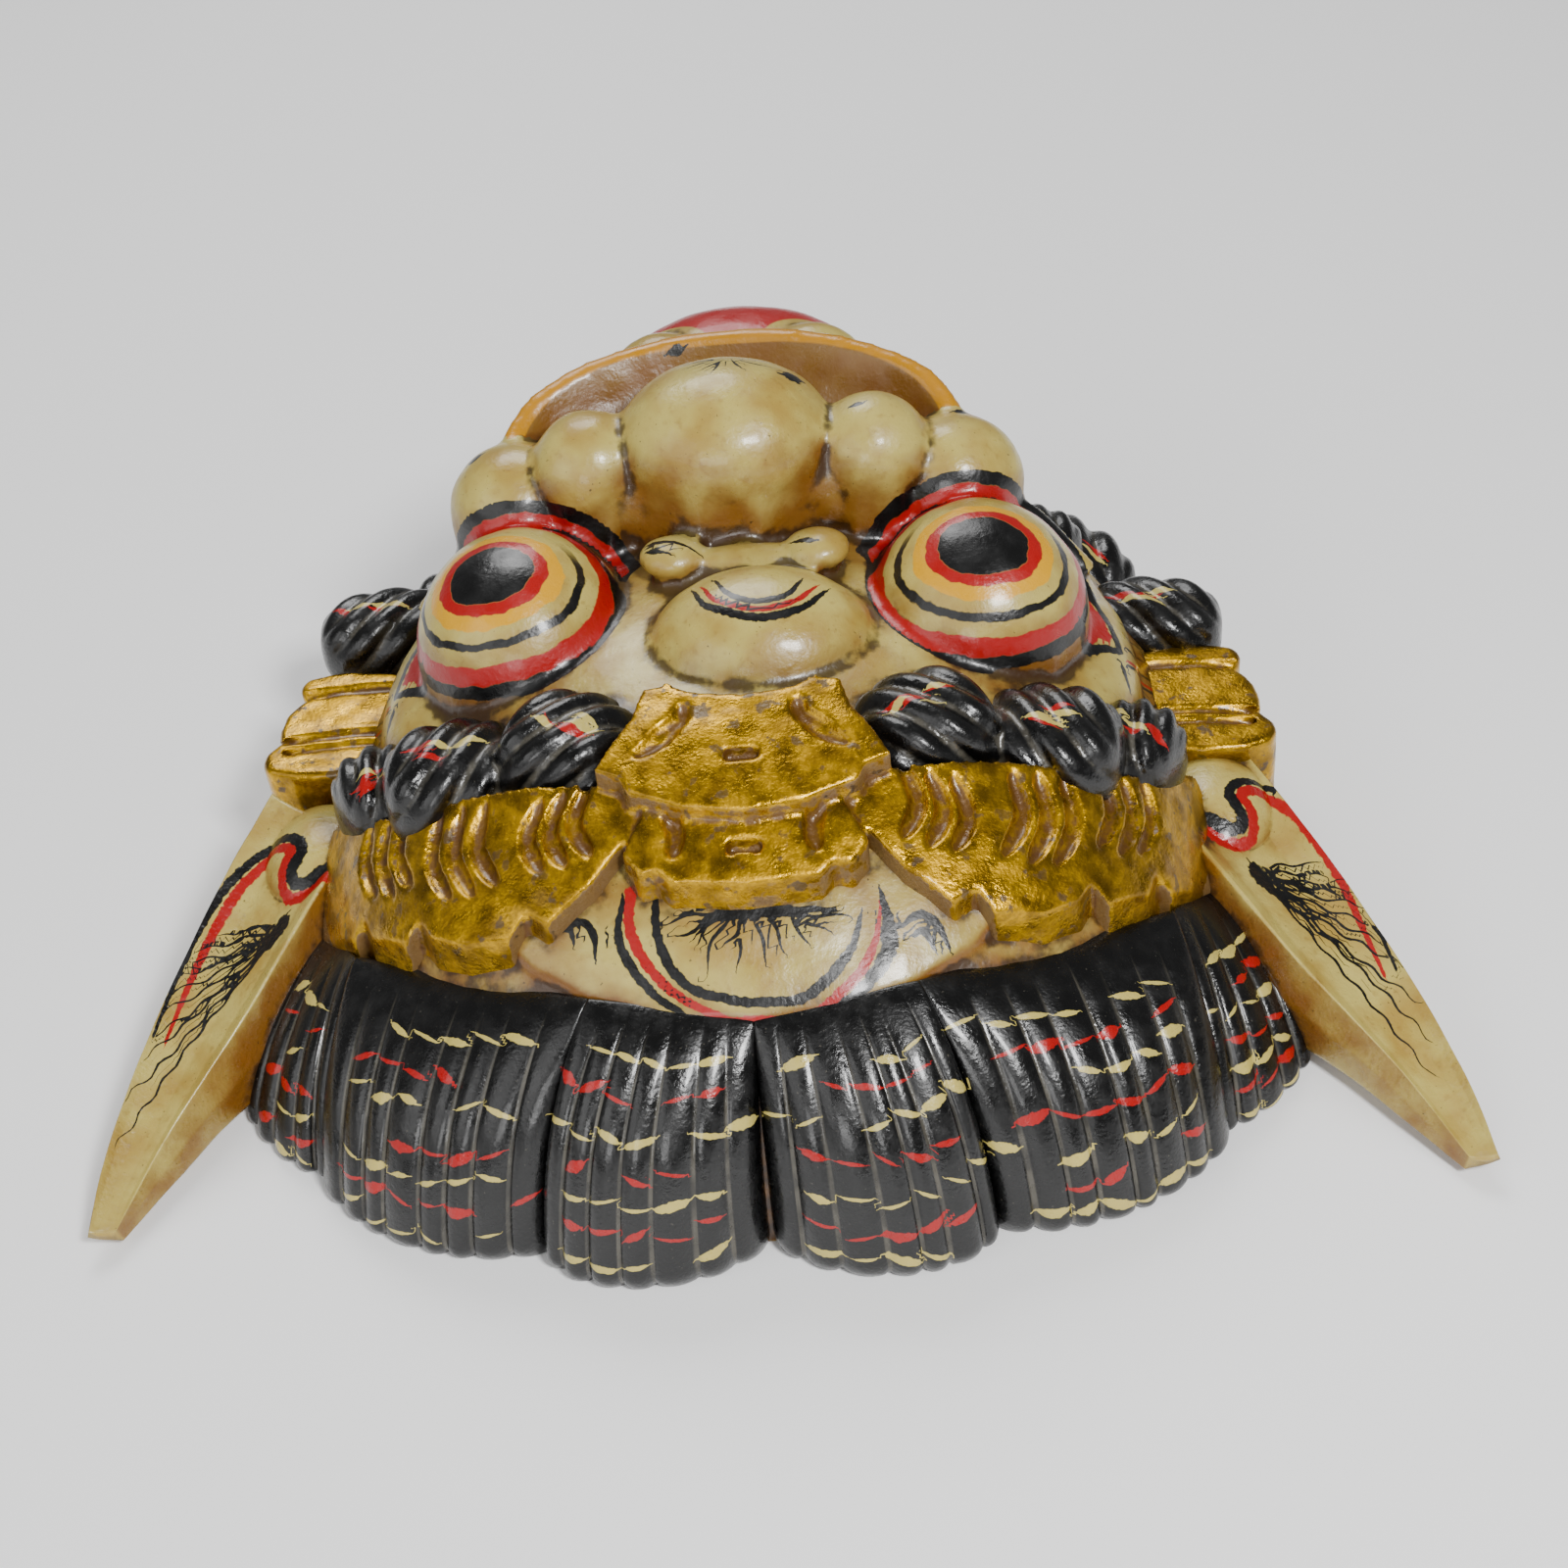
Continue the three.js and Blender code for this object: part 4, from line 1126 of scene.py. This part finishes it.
FOREHEAD_RED = [
    ([(-26.6, -78.5), (-27.2, -85), (-24.6, -91.5), (-18.5, -98), (-8, -103), (2, -103.8), (14, -103),
      (22.5, -98), (27.6, -91.5), (29.6, -84)], [1.5, 1.3, 1.1, 1.2, 1.4, 0.4]),
]
FOREHEAD_RAY_TIPS = [(-19, -86), (-17, -89), (-12, -90.5), (-10, -95.5), (-6, -92), (-3, -95.5),
                     (4, -95), (8, -93), (13, -92), (18, -90), (23, -86.5), (-15, -84), (20, -84)]
FOREHEAD_RAY_ROOT = (1, -84)
BALL_BLACK = [
    ([(-6.5, -1), (-3, -8), (3.6, -11.5), (11, -9.5), (14.5, -3)], [0.4, 1.0, 1.1, 0.4]),
    ([(-12, -2), (-8, -10.5), (4, -16.2), (14.5, -13), (20.5, -5)], [0.4, 1.2, 1.3, 0.5]),
]
BALL_RED = [([(-9.5, -2.5), (-5.8, -9.5), (3.8, -13.9), (12.8, -11.3), (18, -4.5)], [0.4, 0.9, 1.0, 0.4])]
BOW_BLACK = [
    ([(-23, 20), (-18, 19), (-11, 16.5)], [0.9, 0.7, 0.2]),
    ([(-23, 17), (-18, 15)], [0.9, 0.2]),
    ([(11, 23), (16, 24.5), (21, 24)], [0.2, 0.7, 0.8]),
    ([(12.5, 17.5), (16.5, 16.5)], [0.4, 1.1]),
]
NOSE_TOP = (-2, 57)
NOSE_TIPS = [(-12, 53), (-6, 48), (2, 49.5), (9, 53), (-15, 57), (12, 58), (-8, 50)]
# Chips in the paint: where each lies, and its radius.
CHIPS = [((14, 51), 2.4), ((22, 56), 1.3), ((-17, 80), 1.8), ((56, 56), 1.7), ((-69, 50), 1.6),
         ((30, 44), 1.0)]
CORNER_BLACK = [
    ([(78, 36), (85, 29), (90, 19), (92.3, 9)], [0.9, 1.5, 1.3, 1.2]),
    ([(92, 8), (87, 5), (82, 1)], [1.2, 1.8, 2.2]),
]
CORNER_RED = [([(80, 30), (86, 20), (88.5, 12)], [1.5, 3.0, 2.6]),
              ([(83, 20), (85.5, 12), (84.5, 6)], [2.0, 3.0, 1.5])]
TEMPLE_BLACK = [
    ([(94.5, 12.5), (99, 17), (106, 25)], [0.6, 0.5, 0.4]),
    ([(94, 5.5), (99, 11), (106, 18)], [0.6, 0.6, 0.5]),
    ([(95, 20), (101, 27)], [0.4, 0.2]),
    ([(94, 25), (100, 32)], [0.4, 0.2]),
    ([(93, 30), (98, 37)], [0.4, 0.2]),
    ([(92.5, 2.5), (93.5, -2)], [1.2, 0.7]),
]
TEMPLE_RED = [([(94.3, 7.3), (99, 13), (106, 20)], [0.6, 0.6, 0.5])]
SQUIGGLE_ROOTS = [(101, 6), (103, -2), (104, -9), (103, -15), (101, -20)]
EAR_BORDER = [(104, -29), (109, -30.5), (114.5, -33.3), (119.3, -32), (120, -27.5), (117.6, -23.5),
              (120.5, -20), (126, -18.3), (131, -21.5), (136, -28), (141, -40), (145, -53), (149, -68)]
EAR_PATCH = (120.5, -40)
EAR_LINES = 13


def on_both_sides(strokes):
    """Brush lines on the right side and their mirror images."""
    return strokes + [([(-x, y) for x, y in route], widths) for route, widths in strokes]


def lay(tree, strokes, count=28):
    """Lays brush lines of the plan on a surface."""
    return [(laid_on(tree, curve(route, np.linspace(0, 1, count))), widths) for route, widths in strokes]


def face_strokes(tree, random):
    """The black and the red brush lines of the face."""
    black = lay(tree, FOREHEAD_BLACK + BALL_BLACK + BOW_BLACK + on_both_sides(CORNER_BLACK + TEMPLE_BLACK))
    red = lay(tree, FOREHEAD_RED + BALL_RED + on_both_sides(CORNER_RED + TEMPLE_RED))
    for x, y in FOREHEAD_RAY_TIPS:
        start = (FOREHEAD_RAY_ROOT[0] + (x - FOREHEAD_RAY_ROOT[0]) * 0.25, FOREHEAD_RAY_ROOT[1])
        line = wavy(start, (x, y), random.uniform(-1.5, 1.5), 1.3, 0.55, random)
        black.append((laid_on(tree, line), [0.4, 0.5, 0.5, 0.15]))
    for tip in NOSE_TIPS:
        line = wavy(NOSE_TOP, tip, random.uniform(-1, 1), 0.8, 0.3, random)
        black.append((laid_on(tree, line[4:]), [0.15, 0.4, 0.15]))
    for (x, y), size in CHIPS:
        black.append((laid_on(tree, [(x - 0.3, y), (x + 0.5, y + 0.2)]), [size]))
    for side in (1, -1):
        for x, y in SQUIGGLE_ROOTS:
            for lean in (-1, 1):
                end = (x + random.uniform(-2, 3), y + lean * random.uniform(4, 7))
                line = wavy((x - 3, y), end, random.uniform(-2, 2), 1.0, 0.5, random) * (side, 1)
                black.append((laid_on(tree, line), [0.6, 0.35, 0.12]))
    return black, red


def ear_strokes(tree, random):
    """The border and the hair lines of both ears."""
    black, red = [], []
    for side in (1, -1):
        border = curve(EAR_BORDER, np.linspace(0, 1, 90)) * (side, 1)
        ahead = np.gradient(border, axis=0)
        ahead /= np.linalg.norm(ahead, axis=1)[:, None]
        out = np.stack([-ahead[:, 1], ahead[:, 0]], axis=1) * side
        black.append((laid_on(tree, border + out * 1.5), [1.6, 2.0, 1.7, 1.3, 0.4]))
        red.append((laid_on(tree, border - out * 1.3), [1.9, 1.9, 1.6, 1.7, 1.5, 0.4]))
        patch = np.array([EAR_PATCH, (EAR_PATCH[0] + 3.5, EAR_PATCH[1] - 6)]) * (side, 1)
        black.append((laid_on(tree, np.linspace(patch[0], patch[1], 6)), [2.4, 3.2, 1.6]))
        for i in range(EAR_LINES):
            share = i / (EAR_LINES - 1)
            angle = math.radians(8) * (1 - share) - math.radians(57) * share
            reach = 14 + 44 * share**1.4 + random.uniform(-2, 2)
            root = np.array(EAR_PATCH) + (2 + 1.5 * share, -6 * share)
            tip = root + reach * np.array([math.cos(angle), math.sin(angle)])
            line = wavy(root, tip, random.uniform(0.5, 2.5), reach / 9, 0.55, random, 30) * (side, 1)
            black.append((laid_on(tree, line), [0.5, 0.42, 0.4, 0.3, 0.1]))
    return black, red


def roll_strokes(tree, random):
    """Dabs of red and cream across the tops of the rolls."""
    red, cream = [], []
    for side in (1, -1):
        (curl_x, curl_y, curl_z), *curl_form = SIDE_CURL
        curl = ((curl_x, curl_y - side * CURL_SHIFT, curl_z), *curl_form)
        for place, radii, turn in [*BROWS, curl, TUFT, *BEARD]:
            angle = math.radians(turn)
            along = np.array([math.cos(angle), math.sin(angle)])
            across = np.array([-along[1], along[0]])
            middle = np.array(place[:2])
            for tone, count, wide in ((red, 3, 0.9), (cream, 3, 1.0)):
                for _ in range(count):
                    start = middle + along * radii[0] * random.uniform(-0.6, 0.5)
                    start = start + across * random.uniform(-5, 1)
                    end = start + along * random.uniform(3, 7) + across * random.uniform(-1.5, 1.5)
                    line = wavy(start, end, random.uniform(-0.6, 0.6), 1, 0.2, random, 8) * (side, 1)
                    tone.append((laid_on(tree, line), [wide * 0.4, wide, wide * 1.2, wide * 0.4]))
    return red, cream


def smoothstep(value, low, high):
    """A smooth rise from 0 to 1 as the value goes from low to high."""
    t = np.clip((value - low) / (high - low), 0, 1)
    return t * t * (3 - 2 * t)


def inside_egg(points, place, radii, side=1, shift=0.0):
    """How far out each point lies from the middle of an egg: 1 on its surface."""
    middle = (side * place[0] + shift, place[1], place[2])
    return np.linalg.norm((points - middle) / radii, axis=1)


def keep_eye_rings(piece, points):
    """Keeps each point's place among the rings of an eye, as an angle from the middle of the pupil."""
    ring = np.full(len(points), 180.0)
    line = np.zeros(len(points))
    for side, pupil in ((1, PUPIL_RIGHT), (-1, PUPIL_LEFT)):
        middle = np.array([side * EYE[0][0], EYE[0][1], EYE[0][2]])
        scaled = (points - middle) / EYE[1]
        out = np.linalg.norm(scaled, axis=1)
        way = scaled / out[:, None]
        gaze = np.array(pupil) / np.linalg.norm(pupil)
        across = np.array([1.0, 0, 0]) - gaze * gaze[0]
        across /= np.linalg.norm(across)
        along = np.cross(gaze, across)
        flat_x = (way @ across) / (1 + way @ gaze)
        flat_y = (way @ along) / (1 + way @ gaze)
        angle = np.degrees(2 * np.arctan(np.hypot(flat_x / RING_WIDENESS, flat_y - 0.02)))
        far = smoothstep(flat_y, 0.18, 0.40)
        lid = np.interp(out, [1.0, 1.13, 1.25, 1.30], [48, 56, 63, 75])
        on_lid = far * smoothstep(out, 1.01, 1.04)
        value = angle * (1 - on_lid) + lid * on_lid
        value = value + 40 * smoothstep(out, 1.06, 1.2) * (1 - on_lid)
        near = (out < 1.5) & (points[:, 0] * side > 20) & (points[:, 2] > 55)
        ring[near] = value[near]
        line[near] = (1 - smoothstep(flat_y, 0.12, 0.30))[near]
    store(piece, "eye_ring", ring)
    store(piece, "eye_line", line)


def keep_mouth(piece, points):
    """Keeps the places of the red mouth, and of the lip's brown inner face and ochre rim."""
    x, y, z = points.T
    reach_x, reach_y = LIP["reach"]
    side_x, side_y = (x - LIP["middle"][0] - MUZZLE_SHIFT) / reach_x, (y - LIP["middle"][1]) / reach_y
    round_mouth = np.hypot(side_x, side_y)
    angle = np.arctan2(side_y, side_x)
    rim = LIP["end_height"] + LIP["rise"] * np.maximum(0, np.sin(angle))
    inward = 3.2
    rim_x = LIP["middle"][0] + np.cos(angle) * (reach_x - inward) + MUZZLE_SHIFT
    rim_y = LIP["middle"][1] + np.sin(angle) * (reach_y - inward)
    gap = np.sqrt((x - rim_x) ** 2 + (y - rim_y) ** 2 + (z - rim) ** 2)
    upper = y > LIP["middle"][1] - 12
    clear = np.ones(len(points), bool)
    for place, radii in (NOSE, NOSTRIL_WING, CHEEK):
        for side in (1, -1):
            clear &= inside_egg(points, place, radii, side, MUZZLE_SHIFT) > 1.06
    store(piece, "lip_rim", np.where(upper & clear, 3.6 - gap, -5.0))
    brown = np.minimum((1.0 - round_mouth) * 33, z - 78)
    store(piece, "lip_brown", np.where(upper & clear, brown, -5.0))
    red = np.minimum((round_mouth - 1.0) * 33, z - 76)
    tooth = np.minimum(*(inside_egg(points, *FRONT_TOOTH, side, MUZZLE_SHIFT) for side in (1, -1)))
    red = np.minimum(red, (tooth - 1.22) * 15)
    store(piece, "mouth_red", np.where(y > LIP["middle"][1], red, -5.0))


def keep_dirt_and_shade(piece, fine=12, broad=160, neighbours=(), depth=0.45):
    """Keeps how deep each point lies in a crease, for dirt and painted shade, and in a hollow, on a steep
    side or near another piece, for wash and painted shade.
    """
    crease = hollows(piece, fine) / depth
    shade = hollows(piece, broad) / 5.0
    normals = normals_of(piece)
    # Painted shade: steep sides get more amber than the tops.
    shade = shade + 0.75 * smoothstep(1 - normals[:, 2], 0.12, 0.8) - 0.12
    if neighbours:
        tree = surface_tree(*(bpy.data.objects[name] for name in neighbours))
        for i, vertex in enumerate(piece.data.vertices):
            _, _, _, gap = tree.find_nearest(vertex.co, NEIGHBOUR_REACH * MM)
            if gap is not None:
                near = 1 - gap / (NEIGHBOUR_REACH * MM)
                # Painted shade: creases and hollows darken near the neighbouring pieces.
                crease[i] += 0.9 * max(0.0, near - 0.66) / 0.34
                shade[i] += 0.6 * near
    store(piece, "crease", crease)
    store(piece, "shade", shade)


def keep_edge(piece):
    """Keeps how far each point lies on the side wall of a gilt plate, away from its face."""
    points, normals = points_of(piece), normals_of(piece)
    step = 0.5
    x, y, _ = points.T
    slope_x = (dome_height(x + step, y) - dome_height(x - step, y)) / (2 * step)
    slope_y = (dome_height(x, y + step) - dome_height(x, y - step)) / (2 * step)
    face_way = np.stack([-slope_x, -slope_y, np.ones(len(x))], axis=1)
    face_way /= np.linalg.norm(face_way, axis=1)[:, None]
    store(piece, "edge", smoothstep(1 - (face_way * normals).sum(axis=1), 0.25, 0.8))


# ---------------------------------------------------------------- operators
def settings():
    """The user's settings: paint, making and stage."""
    scene = bpy.context.scene
    return scene.mask_paint, scene.mask_making, scene.mask_stage


def fresh_random():
    """A generator of random numbers that gives the same ones on every run."""
    return np.random.default_rng(BRUSH_SEED)


class BuildDiadem(bpy.types.Operator):
    """Carves and gilds the diadem over the forehead"""

    bl_idname = "mask.build_diadem"
    bl_label = "Diadem"

    def execute(self, context):
        paint, making, _ = settings()
        piece = diadem(making.gilt_cell)
        keep_dirt_and_shade(piece, 10, 60, depth=0.3)
        keep_edge(piece)
        smooth_shaded(piece)
        settle(piece, gilding(paint))
        return {"FINISHED"}


class BuildStuds(bpy.types.Operator):
    """Carves and gilds the two ear studs"""

    bl_idname = "mask.build_studs"
    bl_label = "Ear studs"

    def execute(self, context):
        paint, making, _ = settings()
        piece = studs(making.gilt_cell)
        keep_dirt_and_shade(piece, 10, 60, depth=0.3)
        store(piece, "edge", np.zeros(len(piece.data.vertices)))
        smooth_shaded(piece)
        settle(piece, gilding(paint))
        return {"FINISHED"}


class BuildHair(bpy.types.Operator):
    """Carves and paints the fringe of six locks"""

    bl_idname = "mask.build_hair"
    bl_label = "Hair"

    def execute(self, context):
        paint, _, _ = settings()
        piece, red, cream = hair(fresh_random())
        keep_dirt_and_shade(piece, 10, 60, depth=0.35)
        brush(piece, "red_stroke", red)
        brush(piece, "cream_stroke", cream)
        smooth_shaded(piece)
        settle(piece, black_hair(paint, "black_fringe"))
        return {"FINISHED"}


class BuildRolls(bpy.types.Operator):
    """Carves and paints the twisted brows, curls and beard"""

    bl_idname = "mask.build_rolls"
    bl_label = "Brows, curls and beard"

    def execute(self, context):
        paint, making, _ = settings()
        piece = rolls(making.curl_cell)
        keep_dirt_and_shade(piece, 10, 60, depth=0.35)
        red, cream = roll_strokes(surface_tree(piece), fresh_random())
        brush(piece, "red_stroke", red)
        brush(piece, "cream_stroke", cream)
        smooth_shaded(piece)
        settle(piece, black_hair(paint, "black_rolls"))
        return {"FINISHED"}


class BuildEars(bpy.types.Operator):
    """Carves and paints the ears and their shoulders"""

    bl_idname = "mask.build_ears"
    bl_label = "Ears"

    def execute(self, context):
        paint, _, _ = settings()
        piece = ears()
        black, red = ear_strokes(surface_tree(piece), fresh_random())
        brush(piece, "black_stroke", black)
        brush(piece, "red_stroke", red)
        keep_dirt_and_shade(piece, neighbours=("hair", "ear_studs", "diadem"))
        smooth_shaded(piece)
        settle(piece, ear_paint(paint))
        return {"FINISHED"}


class BuildFace(bpy.types.Operator):
    """Carves and paints the head with its eyes, nose and mouth, and hollows its back"""

    bl_idname = "mask.build_face"
    bl_label = "Face"

    def execute(self, context):
        paint, making, _ = settings()
        piece = face(making.face_cell)
        points = points_of(piece)
        keep_eye_rings(piece, points)
        keep_mouth(piece, points)
        black, red = face_strokes(surface_tree(piece), fresh_random())
        brush(piece, "black_stroke", black)
        brush(piece, "red_stroke", red)
        keep_dirt_and_shade(piece, neighbours=("hair", "diadem", "rolls", "ear_studs"), depth=0.3)
        cut(piece, dome(-WALL, 64))
        cut(piece, prism(WIDE_SQUARE, -160, 0))
        smooth_shaded(piece)
        settle(piece, face_paint(paint))
        piece.data.materials.append(bare_wood(paint))
        for polygon in piece.data.polygons:
            x, y, z = to_plan(polygon.center)
            inner = dome_reach(x, y, z, -WALL) < 1.004 or z < 0.05
            polygon.material_index = 1 if inner else 0
        return {"FINISHED"}


class BuildStage(bpy.types.Operator):
    """Sets the floor, the lights and the camera"""

    bl_idname = "mask.build_stage"
    bl_label = "Stage"

    def execute(self, context):
        _, _, stage = settings()
        deselect_all()
        bpy.ops.mesh.primitive_plane_add(size=6.0, location=(0, 0, LOWEST.z))
        floor = bpy.context.object
        floor.name = "floor"
        ground = bpy.data.materials.new("pale_floor")
        ground.use_nodes = True
        shader = next(n for n in ground.node_tree.nodes if n.type == "BSDF_PRINCIPLED")
        shader.inputs["Base Color"].default_value = (stage.floor_tone,) * 3 + (1.0,)
        shader.inputs["Roughness"].default_value = 0.7
        floor.data.materials.append(ground)
        floor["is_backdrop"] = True

        target = Vector(to_frame(CAMERA_TARGET))
        back = Vector((math.sin(stage.camera_azimuth) * math.cos(stage.camera_elevation),
                       -math.cos(stage.camera_azimuth) * math.cos(stage.camera_elevation),
                       math.sin(stage.camera_elevation)))
        bpy.ops.object.camera_add(location=target + back * stage.camera_distance)
        camera = bpy.context.object
        camera.name = "camera"
        camera.data.lens = stage.lens
        camera.data.sensor_width = 36.0
        camera.rotation_mode = "QUATERNION"
        turn = back.to_track_quat("Z", "Y")
        roll_turn = Quaternion((0, 0, 1), stage.camera_roll)
        camera.rotation_quaternion = turn @ roll_turn
        bpy.context.scene.camera = camera

        for name, place, size, power in LIGHTS:
            bpy.ops.object.light_add(type="AREA", location=place)
            light = bpy.context.object
            light.name = name
            light.data.size = size
            light.data.energy = power
            light.rotation_mode = "QUATERNION"
            light.rotation_quaternion = (Vector(place) - target).to_track_quat("Z", "Y")
        world = bpy.data.worlds.new("soft_room")
        world.use_nodes = True
        world.node_tree.nodes["Background"].inputs["Color"].default_value = (1.0, 1.0, 1.0, 1.0)
        world.node_tree.nodes["Background"].inputs["Strength"].default_value = WORLD_STRENGTH
        bpy.context.scene.world = world
        return {"FINISHED"}


class MaskPanel(bpy.types.Panel):
    """Lists the settings and the steps of the mask"""

    bl_idname = "MASK_PT_steps"
    bl_label = "Barong Mask"
    bl_space_type = "VIEW_3D"
    bl_region_type = "UI"
    bl_category = "Barong Mask"

    def draw(self, context):
        for group in settings():
            box = self.layout.box()
            for name in group.__annotations__:
                box.prop(group, name)
        for step in STEPS:
            self.layout.operator(step.bl_idname)


STEPS = (BuildDiadem, BuildStuds, BuildHair, BuildRolls, BuildEars, BuildFace, BuildStage)
GROUPS = {"mask_paint": MaskPaint, "mask_making": MaskMaking, "mask_stage": MaskStage}


def register():
    for kind in (*GROUPS.values(), *STEPS, MaskPanel):
        bpy.utils.register_class(kind)
    for name, kind in GROUPS.items():
        setattr(bpy.types.Scene, name, bpy.props.PointerProperty(type=kind))


def unregister():
    for name in GROUPS:
        delattr(bpy.types.Scene, name)
    for kind in reversed((*GROUPS.values(), *STEPS, MaskPanel)):
        bpy.utils.unregister_class(kind)


def corners(bounds):
    """A box's two corners as plain lists."""
    return [list(corner) for corner in bounds]


def main():
    """Builds every piece and the stage, and measures how large the mask was and is."""
    packed = corners(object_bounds())
    register()
    for step in STEPS:
        group, name = step.bl_idname.split(".")
        getattr(getattr(bpy.ops, group), name)()
    {"packed": packed, "dressed": corners(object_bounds())}


if __name__ == "__main__":
    main()
